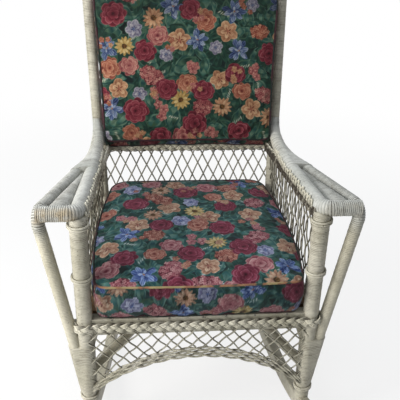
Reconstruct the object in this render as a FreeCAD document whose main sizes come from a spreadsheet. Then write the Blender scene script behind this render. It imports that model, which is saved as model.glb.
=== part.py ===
"""Hoop back rocking chair in reed-wrapped poles, with a seat cushion and a back cushion.

Millimetres. +Z is up, +X is the sitter's left (the right side seen from the front), +Y is the back.
The origin is on the floor, in the middle of the chair's box. Both rockers touch the floor there.
"""
import FreeCAD
import Part
import Sketcher
import math
import os

from FreeCAD import Placement, Rotation, Vector

doc = FreeCAD.newDocument("hoop_back_rocking_chair")

# Driving dimensions, in millimetres, and one angle in degrees
SIZES = {
    # Rockers: sawn boards, an arc of one radius, toed in towards the back
    "rocker_length": 920.0,
    "rocker_sole_radius": 1000.0,
    "rocker_board_height": 42.0,
    "rocker_thickness": 26.0,
    "rocker_edge_round": 4.0,
    # Legs: where their axes stand and how thick they are
    "front_leg_forward": 290.0,
    "front_foot_x": 271.0,
    "front_top_x": 264.0,
    "front_foot_radius": 18.0,
    "front_top_radius": 19.5,
    "rear_foot_x": 224.0,
    "rear_seat_x": 244.0,
    "rear_leg_radius": 16.5,
    "leg_depth_spacing": 453.0,
    "tenon_radius": 8.0,
    "tenon_length": 20.0,
    # Seat frame
    "seat_height": 362.0,
    "rail_height": 46.0,
    "rail_thickness": 22.0,
    "front_rail_setback": 3.0,
    "slat_thickness": 12.0,
    "slat_width": 58.0,
    "slat_count": 6.0,
    "slat_bearing": 10.0,
    "slat_screw_radius": 1.8,
    "slat_screw_length": 30.0,
    "slat_screw_head_radius": 3.6,
    "slat_screw_inset": 5.5,
    "corner_block_leg": 78.0,
    "corner_block_height": 30.0,
    "dowel_radius": 4.0,
    "dowel_length": 36.0,
    "dowel_in_leg": 6.0,
    "low_dowel_rise": 5.5,
    "high_dowel_rise": 15.0,
    # Back: one hoop of bent pole, leaning back
    "back_rake_angle": 18.9,
    "hoop_radius": 15.5,
    "hoop_shoulder": 745.0,
    "hoop_shoulder_x": 281.5,
    "hoop_apex": 800.0,
    "hoop_shoulder_bend": 110.0,
    "hoop_apex_bend": 800.0,
    "post_dowel_radius": 6.0,
    "post_dowel_length": 50.0,
    "cross_rail_along_back": 238.0,
    "cross_rail_radius": 10.0,
    "band_height": 28.0,
    "band_thickness": 13.0,
    # Arms: heights are of the poles' axes
    "arm_front_height": 640.0,
    "arm_fall": 50.0,
    "arm_inner_radius": 18.0,
    "arm_inner_split_x": 255.0,
    "arm_inner_bend": 24.0,
    "arm_outer_radius": 14.5,
    "arm_outer_front_x": 351.0,
    "arm_outer_bend": 27.0,
    "arm_outer_split_x": 294.0,
    "arm_middle_front_radius": 17.5,
    "arm_middle_rear_radius": 2.6,
    "arm_middle_front_x": 307.0,
    "arm_middle_rear_x": 276.1,
    "arm_socket_depth": 12.0,
    "arm_split": 255.0,
    "brace_foot_x": 280.0,
    "brace_foot_height": 190.0,
    "web_skin": 1.5,
    "web_climb": 56.0,
    "web_tip_radius": 9.0,
    "arm_braid_height": 27.0,
    "arm_braid_thickness": 12.0,
    "arm_braid_drop": 18.0,
    "arm_braid_proud": 3.0,
    # Wrapped sleeve round each front leg and its brace
    "sleeve_top": 282.0,
    "sleeve_bottom": 134.0,
    "sleeve_skin": 2.0,
    "sleeve_foot_radius": 11.5,
    # Reed rings wound twice round each front leg
    "reed_radius": 2.4,
    "ring_gap": 0.6,
    "ring_seat_gap": 0.2,
    "upper_ring_height": 606.0,
    "middle_ring_height": 471.0,
    "lower_ring_height": 118.0,
    # Braids along the seat frame
    "seat_braid_height": 29.0,
    "seat_braid_thickness": 13.0,
    "seat_braid_top": 356.0,
    "collar_thickness": 8.0,
    # Apron: an arched band between the front legs with an open lattice above it
    "arch_thickness": 15.0,
    "arch_crown_top": 275.0,
    "arch_crown_bottom": 242.0,
    "arch_end_top": 156.0,
    "arch_end_bottom": 136.0,
    "arch_end_x": 262.0,
    # Open lattices of round reed
    "strand_width": 4.2,
    "lattice_border": 5.0,
    "apron_strand_spacing": 33.0,
    "back_strand_spacing": 30.5,
    "side_strand_spacing": 30.0,
    "panel_strand_spacing": 42.0,
    "lattice_seat_gap": 0.3,
    "lattice_top_x": 259.5,
    "lattice_foot_x": 268.0,
    "lattice_rear_inset": 14.5,
    # Bent braces that cross under the seat, and their knee struts
    "cross_brace_radius": 12.0,
    "cross_brace_front_height": 186.0,
    "cross_brace_rear_height": 160.0,
    "cross_brace_crown_height": 286.0,
    "cross_brace_bend": 150.0,
    "cross_bolt_radius": 3.5,
    "cross_bolt_head_radius": 7.0,
    "cross_bolt_head_height": 3.0,
    "knee_radius": 11.0,
    "knee_height": 250.0,
    # Seat cushion
    "cushion_front_half_width": 241.0,
    "cushion_rear_half_width": 224.5,
    "cushion_front_overhang": 8.0,
    "cushion_front_bow": 7.0,
    "cushion_front_lean": 16.0,
    "cushion_rear_setback": 1.0,
    "cushion_edge_height": 100.0,
    "cushion_rise": 17.0,
    "cushion_draw_in": 4.0,
    "cushion_underside_round": 13.0,
    "cushion_front_corner": 26.0,
    "cushion_rear_corner": 48.0,
    "cushion_crown_inset": 34.0,
    # Back cushion
    "back_cushion_foot": 253.0,
    "back_cushion_thickness": 44.0,
    "back_cushion_rise": 12.0,
    "back_cushion_corner": 16.0,
    "back_cushion_shoulder": 92.0,
    "back_cushion_bow": 33.0,
    "back_cushion_clearance": 3.2,
    # Clearances
    "fit_clearance": 0.15,
    "soft_clearance": 0.3,
}

sheet = doc.addObject("Spreadsheet::Sheet", "Sizes")
for row, (alias, value) in enumerate(SIZES.items(), start=1):
    sheet.set("A%d" % row, alias)
    sheet.set("B%d" % row, "%.6g" % value)
    sheet.setAlias("B%d" % row, alias)
doc.recompute()
size = {alias: float(sheet.get(alias)) for alias in SIZES}

# Places worked out from the sizes
FRONT_Y = -size["front_leg_forward"]
REAR_Y = FRONT_Y + size["leg_depth_spacing"]
RAKE = math.radians(size["back_rake_angle"])
TOE_IN = math.atan2(size["front_foot_x"] - size["rear_foot_x"], size["leg_depth_spacing"])
BED_RADIUS = size["rocker_sole_radius"] - size["rocker_board_height"]
RAIL_FOOT = size["seat_height"] - size["rail_height"]
RAIL_TOP = size["seat_height"] - size["slat_thickness"]
BACK_FOOT_HEIGHT = size["seat_height"] - size["rail_height"] / 2
ARM_SLOPE = size["arm_fall"] / size["leg_depth_spacing"]
X_AXIS = Vector(1, 0, 0)
Y_AXIS = Vector(0, 1, 0)
Z_AXIS = Vector(0, 0, 1)
SPAN = 3 * size["front_foot_x"]

pieces = {}


def add_piece(item, name):
    """Give an object its node name and list it for writing."""
    item.Label = name
    pieces[name] = item
    return item


def feature(name, shape, placement=None):
    """A solid whose shape is worked out here rather than by one of the standard features."""
    item = doc.addObject("Part::Feature", name)
    item.Shape = shape
    if placement is not None:
        item.Placement = placement
    return item


def mirrored(source, name):
    """The same piece on the other side of the chair."""
    item = doc.addObject("Part::Mirroring", name)
    item.Source = source
    item.Base = Vector(0, 0, 0)
    item.Normal = X_AXIS
    return item


def both_sides(item, name):
    """List a right-hand piece and its mirror image."""
    add_piece(item, name + "_right")
    add_piece(mirrored(item, name + "_left"), name + "_left")
    return item


def cut(name, base, *tools):
    """Base without its tools."""
    result = base
    for count, tool in enumerate(tools):
        step = doc.addObject("Part::Cut", "%s_cut_%d" % (name, count))
        step.Base = result
        step.Tool = tool
        result = step
    return result


def fused(name, *parts):
    item = doc.addObject("Part::MultiFuse", name + "_fuse")
    item.Shapes = list(parts)
    return item


def common(name, first, second):
    item = doc.addObject("Part::Common", name + "_common")
    item.Base = first
    item.Tool = second
    return item


def bind(item, **expressions):
    """Tie properties of an object to the sheet."""
    for prop, expression in expressions.items():
        item.setExpression(prop, expression)


def placed_along(start, direction):
    """Placement that stands the Z axis along a direction."""
    return Placement(start, Rotation(Z_AXIS, direction))


def rod(name, start, direction, radius, length):
    """A straight cylinder; radius and length are expressions in the sheet's names."""
    item = doc.addObject("Part::Cylinder", name)
    bind(item, Radius=radius, Height=length)
    item.Placement = placed_along(start, direction)
    return item


def taper(name, start, end, start_radius, end_radius):
    """A straight tapered pole between two points; the radii are expressions."""
    item = doc.addObject("Part::Cone", name)
    item.Height = (end - start).Length
    bind(item, Radius1=start_radius, Radius2=end_radius)
    item.Placement = placed_along(start, end - start)
    return item


def tangent_path(points, bends):
    """Straight runs joined by tangent arcs, one bend radius for each inner point."""
    edges = []
    start = points[0]
    for before, corner, after, bend in zip(points, points[1:], points[2:], bends):
        arrive = (corner - before).normalize()
        leave = (after - corner).normalize()
        half_turn = arrive.getAngle(leave) / 2
        setback = bend * math.tan(half_turn)
        first = corner - arrive * setback
        last = corner + leave * setback
        inward = (leave - arrive).normalize()
        middle = corner + inward * (bend / math.cos(half_turn) - bend)
        edges.append(Part.LineSegment(start, first).toShape())
        edges.append(Part.Arc(first, middle, last).toShape())
        start = last
    edges.append(Part.LineSegment(start, points[-1]).toShape())
    return Part.Wire(edges)


def bent_pole(points, bends, radius):
    """A round pole along straight runs and tangent arcs."""
    path = tangent_path(points, bends)
    direction = (points[1] - points[0]).normalize()
    ring = Part.Wire([Part.Circle(points[0], direction, radius).toShape()])
    pole = path.makePipeShell([ring], True, False)
    expected = math.pi * radius ** 2 * path.Length
    print("pole volume over section times length: %.4f" % (pole.Volume / expected))
    return pole


def front_leg_x(height):
    """X of the right front leg's axis at a height."""
    foot = foot_height(FRONT_Y)
    share = (height - foot) / (size["arm_front_height"] - foot)
    return size["front_foot_x"] + share * (size["front_top_x"] - size["front_foot_x"])


def foot_height(y):
    """Height of the rocker's top edge at a place along the chair."""
    along = y / math.cos(TOE_IN)
    return size["rocker_sole_radius"] - math.sqrt(BED_RADIUS ** 2 - along ** 2)


def rocker_x(y):
    """X of the right rocker's middle plane."""
    return size["front_foot_x"] - (y - FRONT_Y) * math.tan(TOE_IN)


def arm_height(y):
    """Height of the arm poles' axes."""
    return size["arm_front_height"] - (y - FRONT_Y) * ARM_SLOPE


def on_back(x, along, out=0.0):
    """A point of the leaning back: along the slope from the seat frame, and out behind it."""
    y = REAR_Y + along * math.sin(RAKE) + out * math.cos(RAKE)
    z = BACK_FOOT_HEIGHT + along * math.cos(RAKE) - out * math.sin(RAKE)
    return Vector(x, y, z)


def post_x(along):
    """X of the right back post's axis along the slope."""
    share = along / size["hoop_shoulder"]
    return size["rear_seat_x"] + share * (size["hoop_shoulder_x"] - size["rear_seat_x"])


def origin_plane(body, role):
    return next(item for item in body.Origin.OriginFeatures if item.Role == role)


def new_sketch(body, name, role):
    sketch = body.newObject("Sketcher::SketchObject", name)
    sketch.AttachmentSupport = (origin_plane(body, role), [""])
    sketch.MapMode = "FlatFace"
    return sketch


def pin_point(sketch, curve, end, across, up):
    """Hold a sketch point at a place given by two expressions in the sheet's names."""
    for kind, expression in (("DistanceX", across), ("DistanceY", up)):
        value = float(sheet.evalExpression(expression))
        index = sketch.addConstraint(Sketcher.Constraint(kind, -1, 1, curve, end, value))
        sketch.setExpression("Constraints[%d]" % index, expression)


def polygon_sketch(body, name, role, points):
    """A closed outline of straight lines; each point is two expressions in the sheet's names."""
    sketch = new_sketch(body, name, role)
    values = [Vector(*(float(sheet.evalExpression(term)) for term in point)) for point in points]
    for start, end in zip(values, values[1:] + values[:1]):
        sketch.addGeometry(Part.LineSegment(start, end))
    for line in range(len(points)):
        sketch.addConstraint(Sketcher.Constraint("Coincident", line, 2, (line + 1) % len(points), 1))
    for line, (across, up) in enumerate(points):
        pin_point(sketch, line, 1, across, up)
    return sketch


def pad(body, sketch, length, midplane=True):
    item = body.newObject("PartDesign::Pad", sketch.Name + "_pad")
    item.Profile = sketch
    item.Midplane = midplane
    item.setExpression("Length", length)
    body.Tip = item
    return item


def board(name, points, role, length, midplane=True):
    """A straight board: an outline padded to a length."""
    body = doc.addObject("PartDesign::Body", name + "_board")
    pad(body, polygon_sketch(body, name + "_outline", role, points), length, midplane)
    return body


def stadium(first, first_radius, second, second_radius, normal):
    """The outline round two circles in one plane: two straight sides and four arcs."""
    across = (second - first).normalize()
    side = normal.cross(across).normalize()
    lean = math.asin((first_radius - second_radius) / (second - first).Length)
    upper = across * math.sin(lean) + side * math.cos(lean)
    lower = across * math.sin(lean) - side * math.cos(lean)

    def arc(centre, radius, start, end):
        middle = (start + end).normalize()
        return Part.Arc(centre + start * radius, centre + middle * radius, centre + end * radius).toShape()

    edges = [
        Part.LineSegment(first + upper * first_radius, second + upper * second_radius).toShape(),
        arc(second, second_radius, upper, across),
        arc(second, second_radius, across, lower),
        Part.LineSegment(second + lower * second_radius, first + lower * first_radius).toShape(),
        arc(first, first_radius, lower, -across),
        arc(first, first_radius, -across, upper),
    ]
    return Part.Wire(edges)


def arc_from_tangent(start, tangent, end):
    """The arc that leaves a point along a tangent and reaches the end point."""
    chord = end - start
    along = Vector(chord).normalize()
    outward = (tangent - along * tangent.dot(along)).normalize()
    rise = chord.Length / 2 * math.tan(tangent.getAngle(along) / 2)
    return Part.Arc(start, (start + end) / 2 + outward * rise, end).toShape()


def biarc(start, start_tangent, end, end_tangent):
    """Two arcs that join two points along their tangents."""
    chord = end - start
    turn = 2 * (1 - start_tangent.dot(end_tangent))
    reach = chord.dot(start_tangent + end_tangent)
    leg = (math.sqrt(reach ** 2 + turn * chord.dot(chord)) - reach) / turn
    middle = (start + end + (start_tangent - end_tangent) * leg) / 2
    first = arc_from_tangent(start, start_tangent, middle)
    second = arc_from_tangent(end, -end_tangent, middle)
    return [first, second]


def winding(centre, axis, radius, turns):
    """A reed wound round a pole: one unbroken tube of quarter turns."""
    pitch = 2 * size["reed_radius"] + size["ring_gap"]
    forward = (Y_AXIS - axis * Y_AXIS.dot(axis)).normalize()
    sideways = axis.cross(forward)
    points = []
    tangents = []
    for quarter in range(4 * turns + 1):
        angle = quarter * math.pi / 2
        spoke = forward * math.cos(angle) + sideways * math.sin(angle)
        travel = sideways * math.cos(angle) - forward * math.sin(angle)
        points.append(centre + spoke * radius + axis * (pitch * quarter / 4))
        tangents.append((travel * (2 * math.pi * radius) + axis * pitch).normalize())
    edges = []
    for here in range(4 * turns):
        edges += biarc(points[here], tangents[here], points[here + 1], tangents[here + 1])
    path = Part.Wire(edges)
    ring = Part.Wire([Part.Circle(points[0], tangents[0], size["reed_radius"]).toShape()])
    gap = min(
        (high - low).Length - 2 * size["reed_radius"]
        for low, high in zip(points, points[4:])
    )
    print("winding's least gap to itself: %.2f" % gap)
    return path.makePipeShell([ring], True, False)


def net(outline, border, spacing, lean):
    """A flat open lattice: a sheet with a border and a diamond gap between its strands.

    The strands run both ways at the lean, a distance apart that is measured across the panel.
    """
    sheet_face = Part.Face(outline)
    inner = sheet_face.makeOffset2D(-border)
    box = inner.BoundBox
    half = size["strand_width"] / 2 / math.cos(lean)
    shift = box.YLength * math.tan(lean)
    strands = []
    for way in (1, -1):
        first = box.XMin - shift if way > 0 else box.XMin
        count = int((box.XLength + shift) / spacing) + 1
        spare = (box.XLength + shift - (count - 1) * spacing) / 2
        for number in range(count):
            foot = first + spare + number * spacing
            top = foot + way * shift
            corners = [
                Vector(foot - half, box.YMin, 0),
                Vector(foot + half, box.YMin, 0),
                Vector(top + half, box.YMax, 0),
                Vector(top - half, box.YMax, 0),
            ]
            strands.append(Part.Face(Part.makePolygon(corners + corners[:1])))
    gaps = inner.cut(strands).Faces
    smallest = (2 * size["strand_width"]) ** 2 / 2
    gaps = [gap for gap in gaps if gap.Area > smallest]
    wires = [sheet_face.OuterWire] + [gap.OuterWire for gap in gaps]
    holed = Part.makeFace(wires, "Part::FaceMakerBullseye")
    print("lattice gaps: %d" % len(gaps))
    half_sheet = Vector(0, 0, size["strand_width"] / 2)
    holed.translate(-half_sheet)
    return holed.extrude(half_sheet * 2)


BACK_PLANE = Placement(on_back(0, 0), Rotation(X_AXIS, 90 - size["back_rake_angle"]))
BACK_UP = (on_back(0, 1) - on_back(0, 0)).normalize()
BACK_OUT = (on_back(0, 0, 1) - on_back(0, 0)).normalize()
ARM_BACKWARD = Vector(0, 1, -ARM_SLOPE).normalize()

# Back hoop: one bent pole, both posts and the top bow
HOOP_TAIL = -size["rail_height"] / 2
hoop_points = [
    on_back(post_x(HOOP_TAIL), HOOP_TAIL),
    on_back(size["hoop_shoulder_x"], size["hoop_shoulder"]),
    on_back(0, size["hoop_apex"]),
    on_back(-size["hoop_shoulder_x"], size["hoop_shoulder"]),
    on_back(-post_x(HOOP_TAIL), HOOP_TAIL),
]
hoop_bends = [size["hoop_shoulder_bend"], size["hoop_apex_bend"], size["hoop_shoulder_bend"]]
hoop_blank = feature("back_hoop_blank", bent_pole(hoop_points, hoop_bends, size["hoop_radius"]))

# Rear legs and the mitre where they meet the hoop
rear_foot = Vector(size["rear_foot_x"], REAR_Y, foot_height(REAR_Y))
rear_top = on_back(size["rear_seat_x"], 0)
rear_axis = (rear_top - rear_foot).normalize()
post_axis = (hoop_points[1] - hoop_points[0]).normalize()
mitre_normal = (rear_axis + post_axis).normalize()


def mitre_block(name, sign):
    """A block on one side of the mitre between a rear leg and the hoop."""
    item = doc.addObject("Part::Box", name)
    bind(item, Length="4 * Sizes.hoop_radius", Width="4 * Sizes.hoop_radius", Height="Sizes.rail_height")
    rotation = Rotation(Z_AXIS, mitre_normal * sign)
    corner = Vector(-2 * size["hoop_radius"], -2 * size["hoop_radius"], 0)
    item.Placement = Placement(rear_top + rotation.multVec(corner), rotation)
    return item


above_mitre = mitre_block("above_mitre", 1)
below_mitre = mitre_block("below_mitre", -1)
dowel_start = rear_top - mitre_normal * (size["post_dowel_length"] / 2)
post_dowel = rod(
    "post_dowel", dowel_start, mitre_normal, "Sizes.post_dowel_radius", "Sizes.post_dowel_length")
post_socket = rod(
    "post_socket",
    dowel_start - mitre_normal * size["fit_clearance"],
    mitre_normal,
    "Sizes.post_dowel_radius + Sizes.fit_clearance",
    "Sizes.post_dowel_length + 2 * Sizes.fit_clearance",
)


# Rockers
def rocker_board():
    """A sawn rocker: two arcs round one centre, closed by round tips."""
    body = doc.addObject("PartDesign::Body", "rocker_board")
    sketch = new_sketch(body, "rocker_outline", "YZ_Plane")
    sole_radius = size["rocker_sole_radius"]
    tip_radius = size["rocker_board_height"] / 2
    reach = math.asin((size["rocker_length"] / 2 - tip_radius) / (sole_radius - tip_radius))
    down = -math.pi / 2
    centre = Vector(0, sole_radius, 0)
    tip = Vector((sole_radius - tip_radius) * math.sin(reach),
                 sole_radius - (sole_radius - tip_radius) * math.cos(reach), 0)

    def arc(middle, radius, start, end):
        return sketch.addGeometry(Part.ArcOfCircle(Part.Circle(middle, Z_AXIS, radius), start, end))

    sole = arc(centre, sole_radius, down - reach, down + reach)
    top = arc(centre, BED_RADIUS, down - reach, down + reach)
    back_tip = arc(tip, tip_radius, down + reach, down + reach + math.pi)
    front_tip = arc(Vector(-tip.x, tip.y, 0), tip_radius, down - reach - math.pi, down - reach)
    sketch.addConstraint([
        Sketcher.Constraint("Coincident", sole, 3, top, 3),
        Sketcher.Constraint("Tangent", sole, 2, back_tip, 1),
        Sketcher.Constraint("Tangent", back_tip, 2, top, 2),
        Sketcher.Constraint("Tangent", top, 1, front_tip, 1),
        Sketcher.Constraint("Tangent", front_tip, 2, sole, 1),
        Sketcher.Constraint("Symmetric", front_tip, 3, back_tip, 3, -2),
    ])
    measured = (
        (("DistanceY", -1, 1, sole, 3, sole_radius), "Sizes.rocker_sole_radius"),
        (("Radius", sole, sole_radius), "Sizes.rocker_sole_radius"),
        (("Radius", top, BED_RADIUS), "Sizes.rocker_sole_radius - Sizes.rocker_board_height"),
        (("DistanceX", front_tip, 3, back_tip, 3, 2 * tip.x),
         "Sizes.rocker_length - Sizes.rocker_board_height"),
    )
    for arguments, expression in measured:
        index = sketch.addConstraint(Sketcher.Constraint(*arguments))
        sketch.setExpression("Constraints[%d]" % index, expression)
    plank = pad(body, sketch, "Sizes.rocker_thickness")
    doc.recompute()
    faces = [
        "Face%d" % (number + 1)
        for number, face in enumerate(plank.Shape.Faces)
        if face.BoundBox.XLength < size["fit_clearance"]
    ]
    rounding = body.newObject("PartDesign::Fillet", "rocker_rounding")
    rounding.Base = (plank, faces)
    rounding.setExpression("Radius", "Sizes.rocker_edge_round")
    body.Tip = rounding
    body.Placement = Placement(Vector(rocker_x(0), 0, 0), Rotation(Z_AXIS, math.degrees(TOE_IN)))
    return body


board_normal = Vector(math.cos(TOE_IN), math.sin(TOE_IN), 0)
bed_start = Vector(rocker_x(0), 0, size["rocker_sole_radius"]) - board_normal * (SPAN / 2)
rocker_bed = rod("rocker_bed", bed_start, board_normal,
                 "Sizes.rocker_sole_radius - Sizes.rocker_board_height", "3 * Sizes.front_foot_x")
front_foot = Vector(size["front_foot_x"], FRONT_Y, foot_height(FRONT_Y))
front_top = Vector(size["front_top_x"], FRONT_Y, size["arm_front_height"])
front_axis = (front_top - front_foot).normalize()


def tenon(name, foot, axis, extra):
    """The leg's peg in the rocker, or its mortise when extra names a clearance."""
    start = foot - axis * (size["tenon_length"] + (size["fit_clearance"] if extra else 0))
    return rod(name, start, axis, "Sizes.tenon_radius" + extra, "2 * Sizes.tenon_length")


clearance = " + Sizes.fit_clearance"
rocker = cut(
    "rocker",
    rocker_board(),
    tenon("front_mortise", front_foot, front_axis, clearance),
    tenon("rear_mortise", rear_foot, rear_axis, clearance),
)
both_sides(rocker, "rocker")

# Arms: an inner, a middle and an outer pole on each side
SPLIT_Y = FRONT_Y + size["arm_split"]
front_corner = Vector(size["front_top_x"], FRONT_Y, size["arm_front_height"])
outer_corner = Vector(size["arm_outer_front_x"], FRONT_Y, size["arm_front_height"])
inner_split = Vector(size["arm_inner_split_x"], SPLIT_Y, arm_height(SPLIT_Y))
outer_split = Vector(size["arm_outer_split_x"], SPLIT_Y, arm_height(SPLIT_Y))
brace_foot = Vector(size["brace_foot_x"], FRONT_Y, size["brace_foot_height"])


def brace_x(height):
    """X of the outer brace's axis at a height."""
    share = (height - brace_foot.z) / (outer_corner.z - brace_foot.z)
    return brace_foot.x + share * (outer_corner.x - brace_foot.x)


inner_blank = feature(
    "arm_inner_blank",
    bent_pole([inner_split, front_corner, outer_corner], [size["arm_inner_bend"]], size["arm_inner_radius"]),
)
outer_blank = feature(
    "arm_outer_blank",
    bent_pole([outer_split, outer_corner, brace_foot], [size["arm_outer_bend"]], size["arm_outer_radius"]),
)
socket_y = FRONT_Y + size["arm_inner_radius"] - size["arm_socket_depth"]
arm_middle = taper(
    "arm_middle_pole",
    Vector(size["arm_middle_rear_x"], SPLIT_Y, arm_height(SPLIT_Y)),
    Vector(size["arm_middle_front_x"], socket_y, arm_height(socket_y)),
    "Sizes.arm_middle_rear_radius",
    "Sizes.arm_middle_front_radius",
)

# Front legs
LEG_TOP_SHARE = 0.55
leg_cut_top = front_top - front_axis * (size["arm_inner_radius"] * LEG_TOP_SHARE)
front_shaft = taper(
    "front_shaft",
    front_foot - front_axis * size["front_foot_radius"],
    leg_cut_top,
    "Sizes.front_foot_radius",
    "Sizes.front_top_radius",
)
rear_shaft = taper(
    "rear_shaft",
    rear_foot - rear_axis * size["rear_leg_radius"],
    rear_top + rear_axis * size["rear_leg_radius"],
    "Sizes.rear_leg_radius",
    "Sizes.rear_leg_radius",
)


def front_leg_radius(height):
    share = (height - front_foot.z) / (leg_cut_top.z - front_foot.z)
    return size["front_foot_radius"] + share * (size["front_top_radius"] - size["front_foot_radius"])


# Seat rails
side_front = Vector(front_leg_x(BACK_FOOT_HEIGHT), FRONT_Y, 0)
side_rear = Vector(size["rear_seat_x"], REAR_Y, 0)
side_direction = (side_rear - side_front).normalize()
side_normal = side_direction.cross(Z_AXIS).normalize()
front_rail_y = FRONT_Y + size["front_rail_setback"]
HALF_RAIL = size["rail_thickness"] / 2


def side_rail_x(y):
    """X of the right side rail's middle plane."""
    share = (y - FRONT_Y) / size["leg_depth_spacing"]
    return side_front.x + share * (side_rear.x - side_front.x)


tall_section = [
    ("-Sizes.rail_thickness / 2", "Sizes.seat_height - Sizes.rail_height"),
    ("Sizes.rail_thickness / 2", "Sizes.seat_height - Sizes.rail_height"),
    ("Sizes.rail_thickness / 2", "Sizes.seat_height"),
    ("-Sizes.rail_thickness / 2", "Sizes.seat_height"),
]
low_section = [
    ("-Sizes.rail_thickness / 2", "Sizes.seat_height - Sizes.rail_height"),
    ("Sizes.rail_thickness / 2", "Sizes.seat_height - Sizes.rail_height"),
    ("Sizes.rail_thickness / 2", "Sizes.seat_height - Sizes.slat_thickness"),
    ("-Sizes.rail_thickness / 2", "Sizes.seat_height - Sizes.slat_thickness"),
]
front_rail_board = board("front_rail", tall_section, "YZ_Plane", "2 * Sizes.front_foot_x")
front_rail_board.Placement = Placement(Vector(0, front_rail_y, 0), Rotation())
rear_rail_board = board("rear_rail", tall_section, "YZ_Plane", "2 * Sizes.rear_seat_x")
rear_rail_board.Placement = Placement(Vector(0, REAR_Y, 0), Rotation())
side_rail_board = board("side_rail", low_section, "YZ_Plane", "Sizes.leg_depth_spacing")
side_middle = (side_front + side_rear) / 2
side_rail_board.Placement = Placement(side_middle, Rotation(X_AXIS, side_direction))

# Dowels between the seat rails and the legs
LOW_DOWEL = RAIL_FOOT + size["low_dowel_rise"]
HIGH_DOWEL = RAIL_FOOT + size["high_dowel_rise"]
front_joint_x = front_leg_x(LOW_DOWEL)
rear_joint_x = size["rear_seat_x"]


def rail_dowel(name, leg_centre, leg_radius, direction):
    """A dowel from inside a leg into a rail, and the hole that it fills."""
    start = leg_centre + direction * (leg_radius - size["dowel_in_leg"])
    peg = rod(name, start, direction, "Sizes.dowel_radius", "Sizes.dowel_length")
    hole = rod(
        name + "_hole",
        start - direction * size["fit_clearance"],
        direction,
        "Sizes.dowel_radius" + clearance,
        "Sizes.dowel_length + 2 * Sizes.fit_clearance",
    )
    return peg, hole


front_radius = front_leg_radius(LOW_DOWEL)
rear_radius = size["rear_leg_radius"]
front_rail_peg, front_rail_hole = rail_dowel(
    "front_rail_dowel", Vector(front_joint_x, front_rail_y, HIGH_DOWEL), front_radius, -X_AXIS)
rear_rail_peg, rear_rail_hole = rail_dowel(
    "rear_rail_dowel", Vector(rear_joint_x, REAR_Y, HIGH_DOWEL), rear_radius, -X_AXIS)
side_front_peg, side_front_hole = rail_dowel(
    "side_front_dowel", Vector(side_front.x, FRONT_Y, LOW_DOWEL), front_radius, side_direction)
side_rear_peg, side_rear_hole = rail_dowel(
    "side_rear_dowel", Vector(side_rear.x, REAR_Y, LOW_DOWEL), rear_radius, -side_direction)
pegs = [front_rail_peg, rear_rail_peg, side_front_peg, side_rear_peg]


def group(name, items, mirror=True):
    """Separate solids in one node, with their mirror images."""
    solids = list(items)
    if mirror:
        solids += [mirrored(item, item.Name + "_left") for item in items]
    item = doc.addObject("Part::Compound", name + "_group")
    item.Links = solids
    return add_piece(item, name)


group("seat_rail_dowels", pegs)
group("post_dowels", [post_dowel])

# Solid legs and hoop, before their holes; neighbours are fitted against these
front_leg = cut(
    "front_leg",
    fused("front_leg", common("front_leg", front_shaft, rocker_bed),
          tenon("front_tenon", front_foot, front_axis, "")),
    inner_blank,
)
front_leg_left = mirrored(front_leg, "front_leg_solid_left")
rear_leg = cut(
    "rear_leg",
    fused("rear_leg", common("rear_leg", rear_shaft, rocker_bed),
          tenon("rear_tenon", rear_foot, rear_axis, "")),
    above_mitre,
)
rear_leg_left = mirrored(rear_leg, "rear_leg_solid_left")
back_hoop = cut("back_hoop", hoop_blank, below_mitre, mirrored(below_mitre, "below_mitre_left"))

both_sides(cut("front_leg_holes", front_leg, front_rail_hole, side_front_hole), "front_leg")
both_sides(cut("rear_leg_holes", rear_leg, post_socket, rear_rail_hole, side_rear_hole), "rear_leg")
post_socket_left = mirrored(post_socket, "post_socket_left")
add_piece(cut("back_hoop_holes", back_hoop, post_socket, post_socket_left), "back_hoop")

side_rail = cut("side_rail", side_rail_board, front_leg, rear_leg, back_hoop)
side_rail_left = mirrored(side_rail, "side_rail_solid_left")
seat_front_rail = cut(
    "seat_front_rail", front_rail_board, front_leg, front_leg_left, side_rail, side_rail_left)
seat_rear_rail = cut(
    "seat_rear_rail",
    rear_rail_board,
    rear_leg,
    rear_leg_left,
    back_hoop,
    side_rail,
    side_rail_left,
)
front_rail_holes = (front_rail_hole, mirrored(front_rail_hole, "front_rail_hole_left"))
rear_rail_holes = (rear_rail_hole, mirrored(rear_rail_hole, "rear_rail_hole_left"))
add_piece(cut("seat_front_rail_holes", seat_front_rail, *front_rail_holes), "seat_front_rail")
add_piece(cut("seat_rear_rail_holes", seat_rear_rail, *rear_rail_holes), "seat_rear_rail")

# Slats under the cushion, each held by a screw at both ends
SLAT_COUNT = int(size["slat_count"])
slat_start = front_rail_y + HALF_RAIL
slat_room = REAR_Y - HALF_RAIL - slat_start
slat_gap = (slat_room - SLAT_COUNT * size["slat_width"]) / (SLAT_COUNT + 1)
slats = []
slat_screws = []
slat_holes = []
for number in range(SLAT_COUNT):
    slat_y = slat_start + slat_gap + number * (size["slat_width"] + slat_gap)
    middle_y = slat_y + size["slat_width"] / 2
    end_x = side_rail_x(slat_y + size["slat_width"]) - HALF_RAIL + size["slat_bearing"]
    slat = doc.addObject("Part::Box", "slat_%d" % number)
    slat.Length = 2 * end_x
    bind(slat, Width="Sizes.slat_width", Height="Sizes.slat_thickness")
    slat.Placement = Placement(Vector(-end_x, slat_y, RAIL_TOP), Rotation())
    top = Vector(end_x - size["slat_screw_inset"], middle_y, size["seat_height"])
    shank = rod(
        "slat_screw_shank_%d" % number, top, -Z_AXIS, "Sizes.slat_screw_radius", "Sizes.slat_screw_length")
    head = doc.addObject("Part::Cone", "slat_screw_head_%d" % number)
    bind(head, Radius1="Sizes.slat_screw_head_radius", Radius2="Sizes.slat_screw_radius",
         Height="Sizes.slat_screw_head_radius")
    head.Placement = placed_along(top, -Z_AXIS)
    screw = fused("slat_screw_%d" % number, shank, head)
    slats.append(slat)
    slat_screws.append(screw)
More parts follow.
